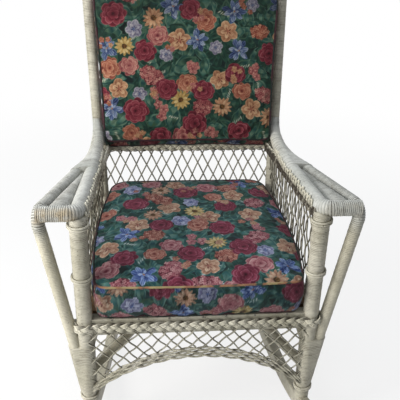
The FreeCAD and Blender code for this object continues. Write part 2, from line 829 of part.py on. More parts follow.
left_screws = [mirrored(screw, screw.Name + "_left") for screw in slat_screws]
all_screws = doc.addObject("Part::Compound", "all_slat_screws")
all_screws.Links = slat_screws + left_screws
add_piece(all_screws, "slat_screws")
slat_stack = doc.addObject("Part::Compound", "slat_stack")
slat_stack.Links = slats
add_piece(cut("seat_slats", slat_stack, all_screws), "seat_slats")
both_sides(cut("seat_side_rail", side_rail, side_front_hole, side_rear_hole, all_screws), "seat_side_rail")

# Corner blocks under the slats
BLOCK_FOOT = RAIL_TOP - size["corner_block_height"]


def corner_block(name, corner_y, way):
    """A triangular block in a corner of the seat frame."""
    corner = Vector(side_rail_x(corner_y), corner_y, BLOCK_FOOT)
    leg = size["corner_block_leg"]
    points = [corner, corner + Vector(-leg, 0, 0), corner + Vector(0, way * leg, 0)]
    face = Part.Face(Part.makePolygon(points + points[:1]))
    return feature(name + "_blank", face.extrude(Vector(0, 0, size["corner_block_height"])))


front_block = cut(
    "front_block",
    corner_block("front_block", front_rail_y + HALF_RAIL, 1),
    side_rail,
    front_leg,
    seat_front_rail,
    side_front_peg,
)
rear_block = cut(
    "rear_block",
    corner_block("rear_block", REAR_Y - HALF_RAIL, -1),
    side_rail,
    rear_leg,
    seat_rear_rail,
    back_hoop,
    side_rear_peg,
)
group("seat_corner_blocks", [front_block, rear_block])

# Arm poles, finished against each other
arm_outer = cut("arm_outer_rail", outer_blank, front_leg)
both_sides(arm_outer, "arm_outer_rail")
arm_inner = cut("arm_inner_rail", inner_blank, arm_outer, arm_middle)
both_sides(arm_inner, "arm_inner_rail")
both_sides(arm_middle, "arm_middle_rail")

# Web: the three arm poles wrapped together behind, sweeping up into the post
MEET_ALONG = (arm_height(REAR_Y) - BACK_FOOT_HEIGHT) / math.cos(RAKE)
WEB_SHARES = (0.0, 0.3, 0.55, 0.84)
WEB_INNER_SHIFT_SHARES = (0.0, 0.0, 0.4, 0.9)
WEB_OUTER_SHIFT_SHARES = (0.0, 0.6, 0.83, 0.87)
WEB_SHRINK_SHARES = (1.0, 0.97, 0.94, 0.87)
WEB_TILT_SHARES = (0.0, 0.03, 0.12, 0.4)
WEB_CLIMB_SHARE = 0.34
WEB_CLIMB_TILT_SHARE = 0.75
meet_x = post_x(MEET_ALONG)
web_reach = on_back(0, MEET_ALONG, -size["hoop_radius"]).y - SPLIT_Y


def web_normal(tilt):
    """Direction of the web: along the arm at 0, along the back at 1."""
    return (ARM_BACKWARD * (1 - tilt) + BACK_UP * tilt).normalize()


def web_shape():
    inner_radius = size["arm_inner_radius"] + size["web_skin"]
    outer_radius = size["arm_outer_radius"] + size["web_skin"]
    sections = []
    for place, inner_shift, outer_shift, shrink, tilt in zip(
            WEB_SHARES, WEB_INNER_SHIFT_SHARES, WEB_OUTER_SHIFT_SHARES, WEB_SHRINK_SHARES, WEB_TILT_SHARES):
        y = SPLIT_Y + place * web_reach
        lift = tilt * size["web_climb"] / 2
        inner_x = inner_split.x + inner_shift * (meet_x - inner_split.x)
        outer_x = outer_split.x + outer_shift * (meet_x - outer_split.x)
        first = Vector(inner_x, y, arm_height(y) + lift)
        second = Vector(outer_x, y, arm_height(y) + lift)
        normal = web_normal(tilt)
        sections.append(stadium(first, inner_radius * shrink, second, outer_radius * shrink, normal))
    climb = MEET_ALONG + WEB_CLIMB_SHARE * size["web_climb"]
    first = on_back(post_x(climb) - size["web_skin"], climb, -size["hoop_radius"])
    second = first + X_AXIS * (size["web_tip_radius"] / 3)
    sections.append(stadium(first, size["hoop_radius"], second, size["arm_outer_radius"],
                            web_normal(WEB_CLIMB_TILT_SHARE)))
    tip = MEET_ALONG + size["web_climb"]
    first = on_back(post_x(tip), tip, -size["web_tip_radius"])
    second = first + X_AXIS * (size["web_tip_radius"] / 2)
    sections.append(stadium(first, size["web_tip_radius"], second, size["web_tip_radius"], BACK_UP))
    return Part.makeLoft(sections, True, True)


arm_web_blank = feature("arm_web_blank", web_shape())
arm_web = cut("arm_back_wrap", arm_web_blank, back_hoop, arm_inner, arm_outer, arm_middle)
both_sides(arm_web, "arm_back_wrap")


# Wrapped sleeve that binds each brace to its leg
def sleeve_shape():
    skin = size["sleeve_skin"]
    top = size["sleeve_top"]
    bottom = size["sleeve_bottom"]
    upper = stadium(
        Vector(front_leg_x(top), FRONT_Y, top),
        front_leg_radius(top) + skin,
        Vector(brace_x(top), FRONT_Y, top),
        size["arm_outer_radius"] + skin,
        Z_AXIS,
    )
    lower_radius = front_leg_radius(bottom) + skin
    lower = stadium(
        Vector(front_leg_x(bottom), FRONT_Y, bottom),
        lower_radius,
        Vector(front_leg_x(bottom) + lower_radius / 2, FRONT_Y, bottom),
        size["sleeve_foot_radius"],
        Z_AXIS,
    )
    return Part.makeLoft([lower, upper], True, True)


sleeve = cut("leg_brace_wrap", feature("sleeve_blank", sleeve_shape()), front_leg, arm_outer)
both_sides(sleeve, "leg_brace_wrap")


# Reed rings, wound twice round each front leg
def leg_ring(name, height):
    centre = Vector(front_leg_x(height), FRONT_Y, height)
    radius = front_leg_radius(height) + size["ring_seat_gap"] + size["reed_radius"]
    return feature(name, winding(centre, front_axis, radius, 2))


def ring_space(name, height, above=""):
    """Room that a wound ring and its clearance take up, and more above it where an expression says so."""
    overrun = size["reed_radius"] + size["soft_clearance"]
    item = doc.addObject("Part::Cylinder", name)
    item.Radius = front_leg_radius(height) + size["ring_seat_gap"] + size["reed_radius"] + overrun
    bind(item, Height="6 * Sizes.reed_radius + 2 * Sizes.ring_gap + 2 * Sizes.soft_clearance" + above)
    start = Vector(front_leg_x(height), FRONT_Y, height) - front_axis * overrun
    item.Placement = placed_along(start, front_axis)
    return item


ring_spaces = []
for ring_name, above in (("upper", " + Sizes.arm_inner_radius"), ("middle", ""), ("lower", "")):
    ring_height = size[ring_name + "_ring_height"]
    both_sides(leg_ring("leg_%s_ring" % ring_name, ring_height), "leg_%s_ring" % ring_name)
    ring_spaces.append(ring_space("%s_ring_space" % ring_name, ring_height, above))


# Braids nailed along the seat frame
def seat_braid_box(name, length):
    item = doc.addObject("Part::Box", name)
    item.Length = length
    bind(item, Width="Sizes.seat_braid_thickness", Height="Sizes.seat_braid_height")
    return item


BRAID_FOOT = size["seat_braid_top"] - size["seat_braid_height"]
braid_front_x = front_leg_x(BRAID_FOOT)
front_bar = seat_braid_box("front_braid_bar", 2 * braid_front_x)
front_bar.Placement.Base = Vector(
    -braid_front_x, front_rail_y - HALF_RAIL - size["seat_braid_thickness"], BRAID_FOOT)
collar_radius = front_leg_radius(BRAID_FOOT) + size["collar_thickness"]
collar = doc.addObject("Part::Cylinder", "front_braid_collar")
collar.Radius = collar_radius
bind(collar, Height="Sizes.seat_braid_height")
collar.Placement.Base = Vector(braid_front_x, FRONT_Y, BRAID_FOOT)
frame_inside = doc.addObject("Part::Box", "frame_inside")
frame_inside.Length = 2 * (braid_front_x + HALF_RAIL)
bind(frame_inside, Width="Sizes.leg_depth_spacing", Height="Sizes.rail_height")
frame_inside.Placement.Base = Vector(-braid_front_x - HALF_RAIL, front_rail_y - HALF_RAIL, RAIL_FOOT)
front_braid = cut(
    "front_braid",
    fused("front_braid", front_bar, collar, mirrored(collar, "front_braid_collar_left")),
    frame_inside,
    front_leg,
    front_leg_left,
    arm_outer,
    pieces["arm_outer_rail_left"],
)
add_piece(front_braid, "front_braid")

side_bar = seat_braid_box("side_braid_bar", size["leg_depth_spacing"])
side_bar_start = side_front + side_normal * HALF_RAIL + Z_AXIS * (RAIL_TOP - size["seat_braid_height"])
side_bar.Placement = Placement(
    side_bar_start + side_normal * size["seat_braid_thickness"], Rotation(X_AXIS, side_direction))
side_braid = cut("seat_side_braid", side_bar, front_leg, front_braid, rear_leg, back_hoop, arm_outer)
both_sides(side_braid, "seat_side_braid")

# Cross rail and woven band of the back
CROSS_ALONG = size["cross_rail_along_back"]
cross_half = post_x(CROSS_ALONG)
cross_rail = doc.addObject("Part::Cylinder", "cross_rail_blank")
cross_rail.Height = 2 * cross_half
bind(cross_rail, Radius="Sizes.cross_rail_radius")
cross_rail.Placement = placed_along(on_back(-cross_half, CROSS_ALONG), X_AXIS)
back_cross_rail = cut("back_cross_rail", cross_rail, back_hoop, arm_web, pieces["arm_back_wrap_left"])
add_piece(back_cross_rail, "back_cross_rail")
band_bar = doc.addObject("Part::Box", "back_band_bar")
band_bar.Length = 2 * cross_half
bind(band_bar, Width="Sizes.band_height", Height="Sizes.band_thickness")
band_bar.Placement = BACK_PLANE * Placement(
    Vector(-cross_half, CROSS_ALONG - size["band_height"] / 2, size["cross_rail_radius"]), Rotation())
back_band = cut("back_band", band_bar, back_hoop, arm_web, pieces["arm_back_wrap_left"])
add_piece(back_band, "back_band")

# Braid along the inside of each arm, under the inner pole
arm_direction = (inner_split - front_corner).normalize()
arm_braid_start = front_corner + Vector(
    -size["arm_inner_radius"] - size["arm_braid_proud"],
    0,
    -size["arm_inner_radius"] / 2 - size["arm_braid_drop"],
)
arm_bar = doc.addObject("Part::Box", "arm_braid_bar")
band_middle_y = on_back(0, CROSS_ALONG, -size["cross_rail_radius"] - size["band_thickness"] / 2).y
arm_bar.Length = (band_middle_y - FRONT_Y) / arm_direction.y
bind(arm_bar, Width="Sizes.arm_braid_thickness", Height="Sizes.arm_braid_height")
arm_side = Vector(arm_direction.y, -arm_direction.x, 0).normalize()
arm_up = arm_side.cross(arm_direction).normalize()
arm_rotation = Rotation(arm_direction, -arm_side, arm_up, "XYZ")
arm_bar.Placement = Placement(arm_braid_start + arm_side * size["arm_braid_thickness"], arm_rotation)
arm_braid = cut("arm_braid", arm_bar, front_leg, arm_inner, arm_web, back_hoop, back_band, ring_spaces[0])
both_sides(arm_braid, "arm_braid")

# Apron between the front legs: an arched band, and a lattice above it
arch_front = front_rail_y - HALF_RAIL - size["seat_braid_thickness"] / 2 - size["arch_thickness"] / 2


def arch_arc(crown, end_height, gap=0.0):
    """One edge of the arched band, from left to right."""
    end_x = size["arch_end_x"]
    return Part.Arc(
        Vector(-end_x, end_height + gap, 0), Vector(0, crown + gap, 0), Vector(end_x, end_height + gap, 0))


arch_body = doc.addObject("PartDesign::Body", "arch_body")
arch_sketch = new_sketch(arch_body, "arch_outline", "XZ_Plane")
arch_rows = (("arch_crown_top", "arch_end_top"), ("arch_crown_bottom", "arch_end_bottom"))
for crown_name, end_name in arch_rows:
    arch_rise = size[crown_name] - size[end_name]
    arch_radius = (size["arch_end_x"] ** 2 + arch_rise ** 2) / (2 * arch_rise)
    arch_half = math.asin(size["arch_end_x"] / arch_radius)
    arch_circle = Part.Circle(Vector(0, size[crown_name] - arch_radius, 0), Z_AXIS, arch_radius)
    arch_sketch.addGeometry(Part.ArcOfCircle(arch_circle, math.pi / 2 - arch_half, math.pi / 2 + arch_half))
for sign in (-1, 1):
    arch_sketch.addGeometry(Part.LineSegment(
        Vector(sign * size["arch_end_x"], size["arch_end_top"], 0),
        Vector(sign * size["arch_end_x"], size["arch_end_bottom"], 0)))
arch_sketch.addConstraint([
    Sketcher.Constraint("Coincident", 0, 2, 2, 1),
    Sketcher.Constraint("Coincident", 1, 2, 2, 2),
    Sketcher.Constraint("Coincident", 0, 1, 3, 1),
    Sketcher.Constraint("Coincident", 1, 1, 3, 2),
])
for line, side in ((2, "-"), (3, "")):
    pin_point(arch_sketch, line, 1, side + "Sizes.arch_end_x", "Sizes.arch_end_top")
    pin_point(arch_sketch, line, 2, side + "Sizes.arch_end_x", "Sizes.arch_end_bottom")
for curve, (crown_name, end_name) in enumerate(arch_rows):
    rise = "(Sizes.%s - Sizes.%s)" % (crown_name, end_name)
    radius = "(Sizes.arch_end_x ^ 2 + %s ^ 2) / (2 * %s)" % (rise, rise)
    value = arch_sketch.Geometry[curve].Radius
    index = arch_sketch.addConstraint(Sketcher.Constraint("Radius", curve, value))
    arch_sketch.setExpression("Constraints[%d]" % index, radius)
pad(arch_body, arch_sketch, "Sizes.arch_thickness")
arch_body.Placement = Placement(Vector(0, arch_front + size["arch_thickness"] / 2, 0), Rotation())
apron_arch = cut("apron_arch", arch_body, front_leg, front_leg_left, sleeve, pieces["leg_brace_wrap_left"])
add_piece(apron_arch, "apron_arch")

leg_edge = front_leg_x(BRAID_FOOT) - front_leg_radius(BRAID_FOOT) / 2
apron_base = arch_arc(size["arch_crown_top"], size["arch_end_top"], size["lattice_seat_gap"])
apron_left = Vector(-size["arch_end_x"], size["arch_end_top"] + size["lattice_seat_gap"], 0)
apron_right = Vector(-apron_left.x, apron_left.y, 0)
apron_top = BRAID_FOOT - size["lattice_seat_gap"]
apron_outline = Part.Wire([
    apron_base.toShape(),
    Part.LineSegment(apron_right, Vector(apron_right.x, apron_top, 0)).toShape(),
    Part.LineSegment(Vector(apron_right.x, apron_top, 0), Vector(apron_left.x, apron_top, 0)).toShape(),
    Part.LineSegment(Vector(apron_left.x, apron_top, 0), apron_left).toShape(),
])
APRON_LEAN = math.radians(42)
apron_net = feature(
    "apron_net",
    net(apron_outline, size["lattice_border"], size["apron_strand_spacing"], APRON_LEAN),
    Placement(Vector(0, arch_front + size["arch_thickness"] / 2, 0), Rotation(X_AXIS, 90)),
)
apron_lattice = cut(
    "apron_lattice", apron_net, front_leg, front_leg_left, sleeve, pieces["leg_brace_wrap_left"])
add_piece(apron_lattice, "apron_lattice")

# Lattices of the back, one under the band and one behind the back cushion
BACK_LEAN = math.radians(27)
POST_OVERLAP_SHARE = 0.8


def back_edge_x(along):
    """X of the back lattices' outer edge, a little inside the post's surface."""
    return post_x(along) - size["hoop_radius"] * POST_OVERLAP_SHARE


lower_foot = (size["seat_height"] + size["lattice_seat_gap"] - BACK_FOOT_HEIGHT) / math.cos(RAKE)
lower_foot += size["strand_width"] / 2 * math.tan(RAKE)
lower_top = size["cross_rail_along_back"] - size["cross_rail_radius"] - size["lattice_seat_gap"]
lower_corners = [
    Vector(-back_edge_x(lower_foot), lower_foot, 0),
    Vector(back_edge_x(lower_foot), lower_foot, 0),
    Vector(back_edge_x(lower_top), lower_top, 0),
    Vector(-back_edge_x(lower_top), lower_top, 0),
]
lower_net = feature(
    "lower_back_net",
    net(Part.makePolygon(lower_corners + lower_corners[:1]), size["lattice_border"],
        size["back_strand_spacing"], BACK_LEAN),
    BACK_PLANE,
)
add_piece(cut("lower_back_lattice", lower_net, back_hoop), "lower_back_lattice")

upper_foot = size["cross_rail_along_back"] + size["cross_rail_radius"] + size["lattice_seat_gap"]
hoop_inset = size["hoop_radius"] * POST_OVERLAP_SHARE
upper_path = tangent_path(
    [
        Vector(back_edge_x(upper_foot), upper_foot, 0),
        Vector(size["hoop_shoulder_x"] - hoop_inset, size["hoop_shoulder"] - hoop_inset, 0),
        Vector(0, size["hoop_apex"] - hoop_inset, 0),
        Vector(hoop_inset - size["hoop_shoulder_x"], size["hoop_shoulder"] - hoop_inset, 0),
        Vector(-back_edge_x(upper_foot), upper_foot, 0),
    ],
    [size["hoop_shoulder_bend"] - hoop_inset, size["hoop_apex_bend"] - hoop_inset,
     size["hoop_shoulder_bend"] - hoop_inset],
)
upper_close = Part.LineSegment(
    Vector(-back_edge_x(upper_foot), upper_foot, 0), Vector(back_edge_x(upper_foot), upper_foot, 0))
upper_net = feature(
    "upper_back_net",
    net(Part.Wire(upper_path.Edges + [upper_close.toShape()]), size["lattice_border"],
        size["panel_strand_spacing"], BACK_LEAN),
    Placement(BACK_OUT * (size["strand_width"] / 2), Rotation()) * BACK_PLANE,
)
add_piece(cut("upper_back_lattice", upper_net, back_hoop), "upper_back_lattice")

# Lattice between each arm and the side rail
LATTICE_SLOPE = size["lattice_rear_inset"] / size["leg_depth_spacing"]
lattice_foot = Vector(size["lattice_foot_x"], FRONT_Y, RAIL_TOP + size["lattice_seat_gap"])
lattice_head = Vector(size["lattice_top_x"], FRONT_Y, size["arm_front_height"] - size["arm_inner_radius"])
lattice_along = Vector(-LATTICE_SLOPE, 1, 0).normalize()
lattice_up = (lattice_head - lattice_foot)
lattice_up = (lattice_up - lattice_along * lattice_up.dot(lattice_along)).normalize()
lattice_rotation = Rotation(lattice_along, lattice_up, lattice_along.cross(lattice_up), "XYZ")
PANEL_LEAN = math.radians(24)
panel_height = (lattice_head - lattice_foot).Length
front_edge = front_leg_radius(size["seat_height"]) * POST_OVERLAP_SHARE
post_front = size["hoop_radius"] * POST_OVERLAP_SHARE / math.cos(RAKE)
rear_low = size["leg_depth_spacing"] + (RAIL_TOP - BACK_FOOT_HEIGHT) * math.tan(RAKE) - post_front
rear_height = panel_height - size["arm_fall"]
rear_high = rear_low + rear_height * math.tan(RAKE)
side_corners = [
    Vector(front_edge, 0, 0),
    Vector(rear_low, 0, 0),
    Vector(rear_high, panel_height - rear_high * ARM_SLOPE, 0),
    Vector(front_edge, panel_height - front_edge * ARM_SLOPE, 0),
]
side_net = feature(
    "side_net",
    net(Part.makePolygon(side_corners + side_corners[:1]), size["lattice_border"],
        size["side_strand_spacing"], PANEL_LEAN),
    Placement(lattice_foot, lattice_rotation),
)
side_lattice = cut("side_lattice", side_net, front_leg, arm_inner, arm_web, back_hoop, arm_braid, side_rail,
                   back_band, back_cross_rail, ring_spaces[0], ring_spaces[1])
both_sides(side_lattice, "side_lattice")

# Bent braces that cross under the seat, from each front leg to the opposite rear leg
BRACE_KNEE_SHARE = 0.55


def rear_leg_x(height):
    share = (height - rear_foot.z) / (rear_top.z - rear_foot.z)
    return rear_foot.x + share * (rear_top.x - rear_foot.x)


def cross_brace(name, side, crown):
    """A bent pole that rises from a front leg, crosses the middle and falls to the far rear leg."""
    front_z = size["cross_brace_front_height"]
    rear_z = size["cross_brace_rear_height"]
    start = Vector(side * front_leg_x(front_z), FRONT_Y, front_z)
    end = Vector(-side * rear_leg_x(rear_z), REAR_Y, rear_z)
    middle = start + (end - start) * (start.x / (start.x - end.x))
    middle.z = crown
    first_knee = start + (middle - start) * BRACE_KNEE_SHARE
    second_knee = end + (middle - end) * BRACE_KNEE_SHARE
    first_knee.z = crown
    second_knee.z = crown
    bends = [size["cross_brace_bend"]] * 2
    pole = bent_pole([start, first_knee, second_knee, end], bends, size["cross_brace_radius"])
    return feature(name + "_blank", pole), middle


upper_crown = size["cross_brace_crown_height"]
lower_crown = upper_crown - 2 * size["cross_brace_radius"] - size["soft_clearance"]
upper_brace, crossing = cross_brace("cross_brace_upper", 1, upper_crown)
lower_brace, low_crossing = cross_brace("cross_brace_lower", -1, lower_crown)
bolt_foot = low_crossing - Z_AXIS * size["cross_brace_radius"]
bolt_length = crossing.z - bolt_foot.z + size["cross_brace_radius"]
bolt_shank = doc.addObject("Part::Cylinder", "cross_bolt_shank")
bolt_shank.Height = bolt_length
bind(bolt_shank, Radius="Sizes.cross_bolt_radius")
bolt_shank.Placement.Base = bolt_foot
bolt_ends = [
    rod("cross_bolt_end_%d" % number, foot, Z_AXIS,
        "Sizes.cross_bolt_head_radius", "Sizes.cross_bolt_head_height")
    for number, foot in enumerate((
        bolt_foot - Z_AXIS * size["cross_bolt_head_height"],
        bolt_foot + Z_AXIS * bolt_length,
    ))
]
cross_bolt = fused("cross_brace_bolt", bolt_shank, *bolt_ends)
add_piece(cross_bolt, "cross_brace_bolt")
bolt_hole = doc.addObject("Part::Cylinder", "cross_bolt_hole")
bolt_hole.Height = bolt_length
bind(bolt_hole, Radius="Sizes.cross_bolt_radius" + clearance)
bolt_hole.Placement.Base = bolt_foot
leg_tools = [front_leg, front_leg_left, rear_leg, rear_leg_left, sleeve, pieces["leg_brace_wrap_left"]]
add_piece(cut("cross_brace_upper", upper_brace, bolt_hole, *leg_tools), "cross_brace_upper")
add_piece(cut("cross_brace_lower", lower_brace, bolt_hole, *leg_tools), "cross_brace_lower")

# Knee struts from the front legs up to the front corner blocks
KNEE_REACH_SHARE = 0.38
knee_start = Vector(front_leg_x(size["knee_height"]), FRONT_Y, size["knee_height"])
knee_end = Vector(
    side_rail_x(FRONT_Y) - KNEE_REACH_SHARE * size["corner_block_leg"],
    front_rail_y + HALF_RAIL + KNEE_REACH_SHARE * size["corner_block_leg"],
    BLOCK_FOOT + size["corner_block_height"] / 2,
)
knee = cut(
    "knee_strut",
    taper("knee_blank", knee_start, knee_end, "Sizes.knee_radius", "Sizes.knee_radius"),
    front_leg,
    sleeve,
    front_block,
    seat_front_rail,
    side_rail,
    pieces["cross_brace_upper"],
    pieces["cross_brace_lower"],
)
both_sides(knee, "knee_strut")

# Cushions
CROWN_INSET_SHARES = (1.0, 2.4, 4.0)
CROWN_RISE_SHARES = (0.55, 0.85, 1.0)
CORNER_MIDDLE_SHARE = 1 - math.sqrt(0.5)
CORNER_GROWTH_SHARE = 0.12


def soft_outline(corners, roundings, bows, level):
    """A closed outline of arcs: bowed or drawn-in sides between rounded corners."""
    count = len(corners)
    ends = []
    for number, (corner, rounding) in enumerate(zip(corners, roundings)):
        before = (corners[number - 1] - corner).normalize()
        after = (corners[(number + 1) % count] - corner).normalize()
        ends.append((corner + before * rounding, corner, corner + after * rounding))
    edges = []
    for number, (bow, (enter, corner, leave)) in enumerate(zip(bows, ends)):
        middle = corner + (enter + leave - corner * 2) * CORNER_MIDDLE_SHARE
        edges.append(Part.Arc(enter, middle, leave).toShape())
        following = ends[(number + 1) % count][0]
        if bow:
            outward = (following - leave).cross(Z_AXIS).normalize()
            edges.append(Part.Arc(leave, (leave + following) / 2 + outward * bow, following).toShape())
        else:
            edges.append(Part.LineSegment(leave, following).toShape())
    wire = Part.Wire(edges)
    wire.translate(Z_AXIS * level)
    return wire


def pillow(corners, roundings, bows, levels):
    """A box cushion through outlines: each a level, an inset, and how far its near and far edges lean out."""
    wires = []
    middle = Vector(0, sum(corner.y for corner in corners) / len(corners), 0)
    for level, inset, near_lean, far_lean in levels:
        moved = []
        for corner in corners:
            step = Vector(
                math.copysign(inset, middle.x - corner.x), math.copysign(inset, middle.y - corner.y), 0)
            step.y += far_lean if corner.y > middle.y else -near_lean
            moved.append(corner + step)
        rounded = [rounding + inset * CORNER_GROWTH_SHARE for rounding in roundings]
        wires.append(soft_outline(moved, rounded, bows, level))
    return Part.makeLoft(wires, True, True)


def crown_levels(base, rise, inset):
    return [
        (base + rise * rise_share, inset * inset_share)
        for rise_share, inset_share in zip(CROWN_RISE_SHARES, CROWN_INSET_SHARES)
    ]


def leaning(levels, near_slope, far_slope, height):
    """Levels whose near and far edges lean out evenly up to a height over the first."""
    base = levels[0][0]
    risen = [min(level - base, height) for level, inset in levels]
    return [
        (level, inset, rise * near_slope, rise * far_slope)
        for (level, inset), rise in zip(levels, risen)
    ]


cushion_front_y = FRONT_Y - size["cushion_front_overhang"]
cushion_rear_y = REAR_Y - size["cushion_rear_setback"]
seat_corners = [
    Vector(-size["cushion_front_half_width"], cushion_front_y, 0),
    Vector(size["cushion_front_half_width"], cushion_front_y, 0),
    Vector(size["cushion_rear_half_width"], cushion_rear_y, 0),
    Vector(-size["cushion_rear_half_width"], cushion_rear_y, 0),
]
seat_foot = size["seat_height"] + size["soft_clearance"]
seat_edge = size["cushion_edge_height"]
under = size["cushion_underside_round"]
seat_levels = [
    (seat_foot, under),
    (seat_foot + under, 0),
    (seat_foot + seat_edge / 2, size["cushion_draw_in"]),
    (seat_foot + seat_edge, 0),
] + crown_levels(seat_foot + seat_edge, size["cushion_rise"], size["cushion_crown_inset"])
seat_cushion = feature(
    "seat_cushion",
    pillow(
        seat_corners,
        [size["cushion_front_corner"]] * 2 + [size["cushion_rear_corner"]] * 2,
        [size["cushion_front_bow"], 0, 0, 0],
        leaning(seat_levels, size["cushion_front_lean"] / seat_edge, math.tan(RAKE), seat_edge),
    ),
)
add_piece(seat_cushion, "seat_cushion")

back_foot = size["back_cushion_foot"]
back_head = size["hoop_shoulder"] - size["hoop_radius"] - size["back_cushion_clearance"]


def back_half_width(along):
    return post_x(along) - size["hoop_radius"] - size["back_cushion_clearance"]


back_corners = [
    Vector(-back_half_width(back_foot), back_foot, 0),
    Vector(back_half_width(back_foot), back_foot, 0),
    Vector(back_half_width(back_head), back_head, 0),
    Vector(-back_half_width(back_head), back_head, 0),
]
back_thickness = size["back_cushion_thickness"]
back_levels = [
    (size["soft_clearance"], under),
    (size["soft_clearance"] + under, 0),
    (back_thickness / 2 + under / 2, size["cushion_draw_in"]),
    (back_thickness, 0),
] + crown_levels(back_thickness, size["back_cushion_rise"], size["cushion_crown_inset"])
back_cushion = feature(
    "back_cushion",
    pillow(
        back_corners,
        [size["back_cushion_corner"]] * 2 + [size["back_cushion_shoulder"]] * 2,
        [-size["cushion_draw_in"]] * 2 + [size["back_cushion_bow"], -size["cushion_draw_in"]],
        leaning(back_levels, 0, 0, back_thickness),
    ),
    BACK_PLANE,
)
add_piece(back_cushion, "back_cushion")

doc.recompute()
failed = [item.Name for item in doc.Objects if "Invalid" in item.State or "Error" in item.State]
if failed:
    raise RuntimeError("objects that failed: " + ", ".join(failed))
os.makedirs("parts", exist_ok=True)
for name, item in pieces.items():
    shape = item.Shape
    if shape.isNull() or not shape.isValid() or not shape.Solids:
        raise RuntimeError("no valid solid: " + name)
    shape.exportStep("parts/%s.step" % name)
    print("%s: %d solid(s), %.0f mm3" % (name, len(shape.Solids), shape.Volume))
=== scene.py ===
"""Looks of the hoop back rocking chair: painted wicker, and two cushions in a floral print."""

import math

import bpy
import numpy as np
from mathutils import Matrix, Vector


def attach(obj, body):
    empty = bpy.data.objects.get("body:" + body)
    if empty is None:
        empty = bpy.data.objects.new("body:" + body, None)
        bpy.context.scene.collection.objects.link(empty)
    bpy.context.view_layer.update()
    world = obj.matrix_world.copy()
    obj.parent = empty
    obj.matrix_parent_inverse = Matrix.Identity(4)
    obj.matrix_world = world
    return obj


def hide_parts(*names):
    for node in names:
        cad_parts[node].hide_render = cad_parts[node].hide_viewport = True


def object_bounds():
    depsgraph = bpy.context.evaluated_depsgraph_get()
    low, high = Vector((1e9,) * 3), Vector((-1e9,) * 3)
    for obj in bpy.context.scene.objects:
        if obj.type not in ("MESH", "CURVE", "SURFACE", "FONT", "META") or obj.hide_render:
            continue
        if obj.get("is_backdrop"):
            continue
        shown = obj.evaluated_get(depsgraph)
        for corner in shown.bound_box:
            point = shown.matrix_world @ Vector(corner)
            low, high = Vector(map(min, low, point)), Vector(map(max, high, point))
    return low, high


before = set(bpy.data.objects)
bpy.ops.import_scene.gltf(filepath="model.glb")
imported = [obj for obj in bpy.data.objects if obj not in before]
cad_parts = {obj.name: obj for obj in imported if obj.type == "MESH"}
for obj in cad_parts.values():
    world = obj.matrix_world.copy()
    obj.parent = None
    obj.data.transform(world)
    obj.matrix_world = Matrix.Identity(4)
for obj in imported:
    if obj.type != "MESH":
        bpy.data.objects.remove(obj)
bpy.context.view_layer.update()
MM = 0.001
rng = np.random.default_rng(7)

# Sizes of the CAD part that the wicker follows, in millimetres; "along" is measured up the raked back
FRONT_Y = -290.0
REAR_Y = 163.0
TREAD = REAR_Y - FRONT_Y
RAKE = math.radians(18.9)
SEAT = 362.0
BACK_FOOT = 339.0
ARM_HEIGHT = 640.0
ARM_SLOPE = 50.0 / TREAD
POST_FOOT_X = 244.0
POST_TOP_X = 281.5
POST_TOP = 745.0
POST_RADIUS = 15.5
HOOP_TOP = 800.0
HOOP_BEND = 110.0
CROWN_BEND = 800.0
LEG_FOOT_X = 271.0
LEG_HEAD_X = 264.0
REAR_FOOT_X = 224.0
ROCKER_CENTRE = 1000.0
ROCKER_RADIUS = 958.0
INNER_RADIUS = 18.0
OUTER_RADIUS = 14.5
WIND_PITCH = 4.4
BRAID_PITCH = 69.0
BRAID_HEIGHT = 27.0
BRAID_REED = 3.9


def arm_height(y):
    return ARM_HEIGHT - (y - FRONT_Y) * ARM_SLOPE


def points_of(x, y, z):
    """Points from three coordinates, each a number or a row of numbers."""
    return np.stack(np.broadcast_arrays(x, y, z), axis=-1).astype(float)


def on_back(x, along, out=0.0):
    """Points on the plane of the back's poles, or out from it to the rear."""
    y = REAR_Y + along * math.sin(RAKE) + out * math.cos(RAKE)
    z = BACK_FOOT + along * math.cos(RAKE) - out * math.sin(RAKE)
    return points_of(x, y, z)


def post_x(along):
    return POST_FOOT_X + along / POST_TOP * (POST_TOP_X - POST_FOOT_X)


def foot_height(y):
    """Height of the rocker's seat for a leg."""
    toe = math.atan2(LEG_FOOT_X - REAR_FOOT_X, TREAD)
    return ROCKER_CENTRE - math.sqrt(ROCKER_RADIUS ** 2 - (y / math.cos(toe)) ** 2)


LEG_FOOT = foot_height(FRONT_Y)


def front_leg_x(height):
    return LEG_FOOT_X + (height - LEG_FOOT) / (ARM_HEIGHT - LEG_FOOT) * (LEG_HEAD_X - LEG_FOOT_X)


def front_leg_radius(height):
    return 18.0 + (height - LEG_FOOT) / (ARM_HEIGHT - 9.9 - LEG_FOOT) * 1.5


def unit(v):
    return v / np.linalg.norm(v, axis=-1, keepdims=True)


def listed(faces):
    return faces.tolist() if isinstance(faces, np.ndarray) else faces


def new_mesh(name, verts, faces, material, body="chair", crevice=None):
    """A mesh piece from points in millimetres; crevice is each point's share of darkening, from 0 to 1: dirt
    and painted shade in grooves and recesses (on the piping, its share of light colours).
    """
    mesh = bpy.data.meshes.new(name)
    mesh.from_pydata((np.asarray(verts) * MM).tolist(), [], listed(faces))
    mesh.update()
    mesh.polygons.foreach_set("use_smooth", np.ones(len(mesh.polygons), bool))
    if crevice is not None:
        attribute = mesh.attributes.new("crevice", "FLOAT", "POINT")
        attribute.data.foreach_set("value", np.asarray(crevice, np.float32))
    piece = bpy.data.objects.new(name, mesh)
    bpy.context.scene.collection.objects.link(piece)
    mesh.materials.append(material)
    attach(piece, body)
    return piece


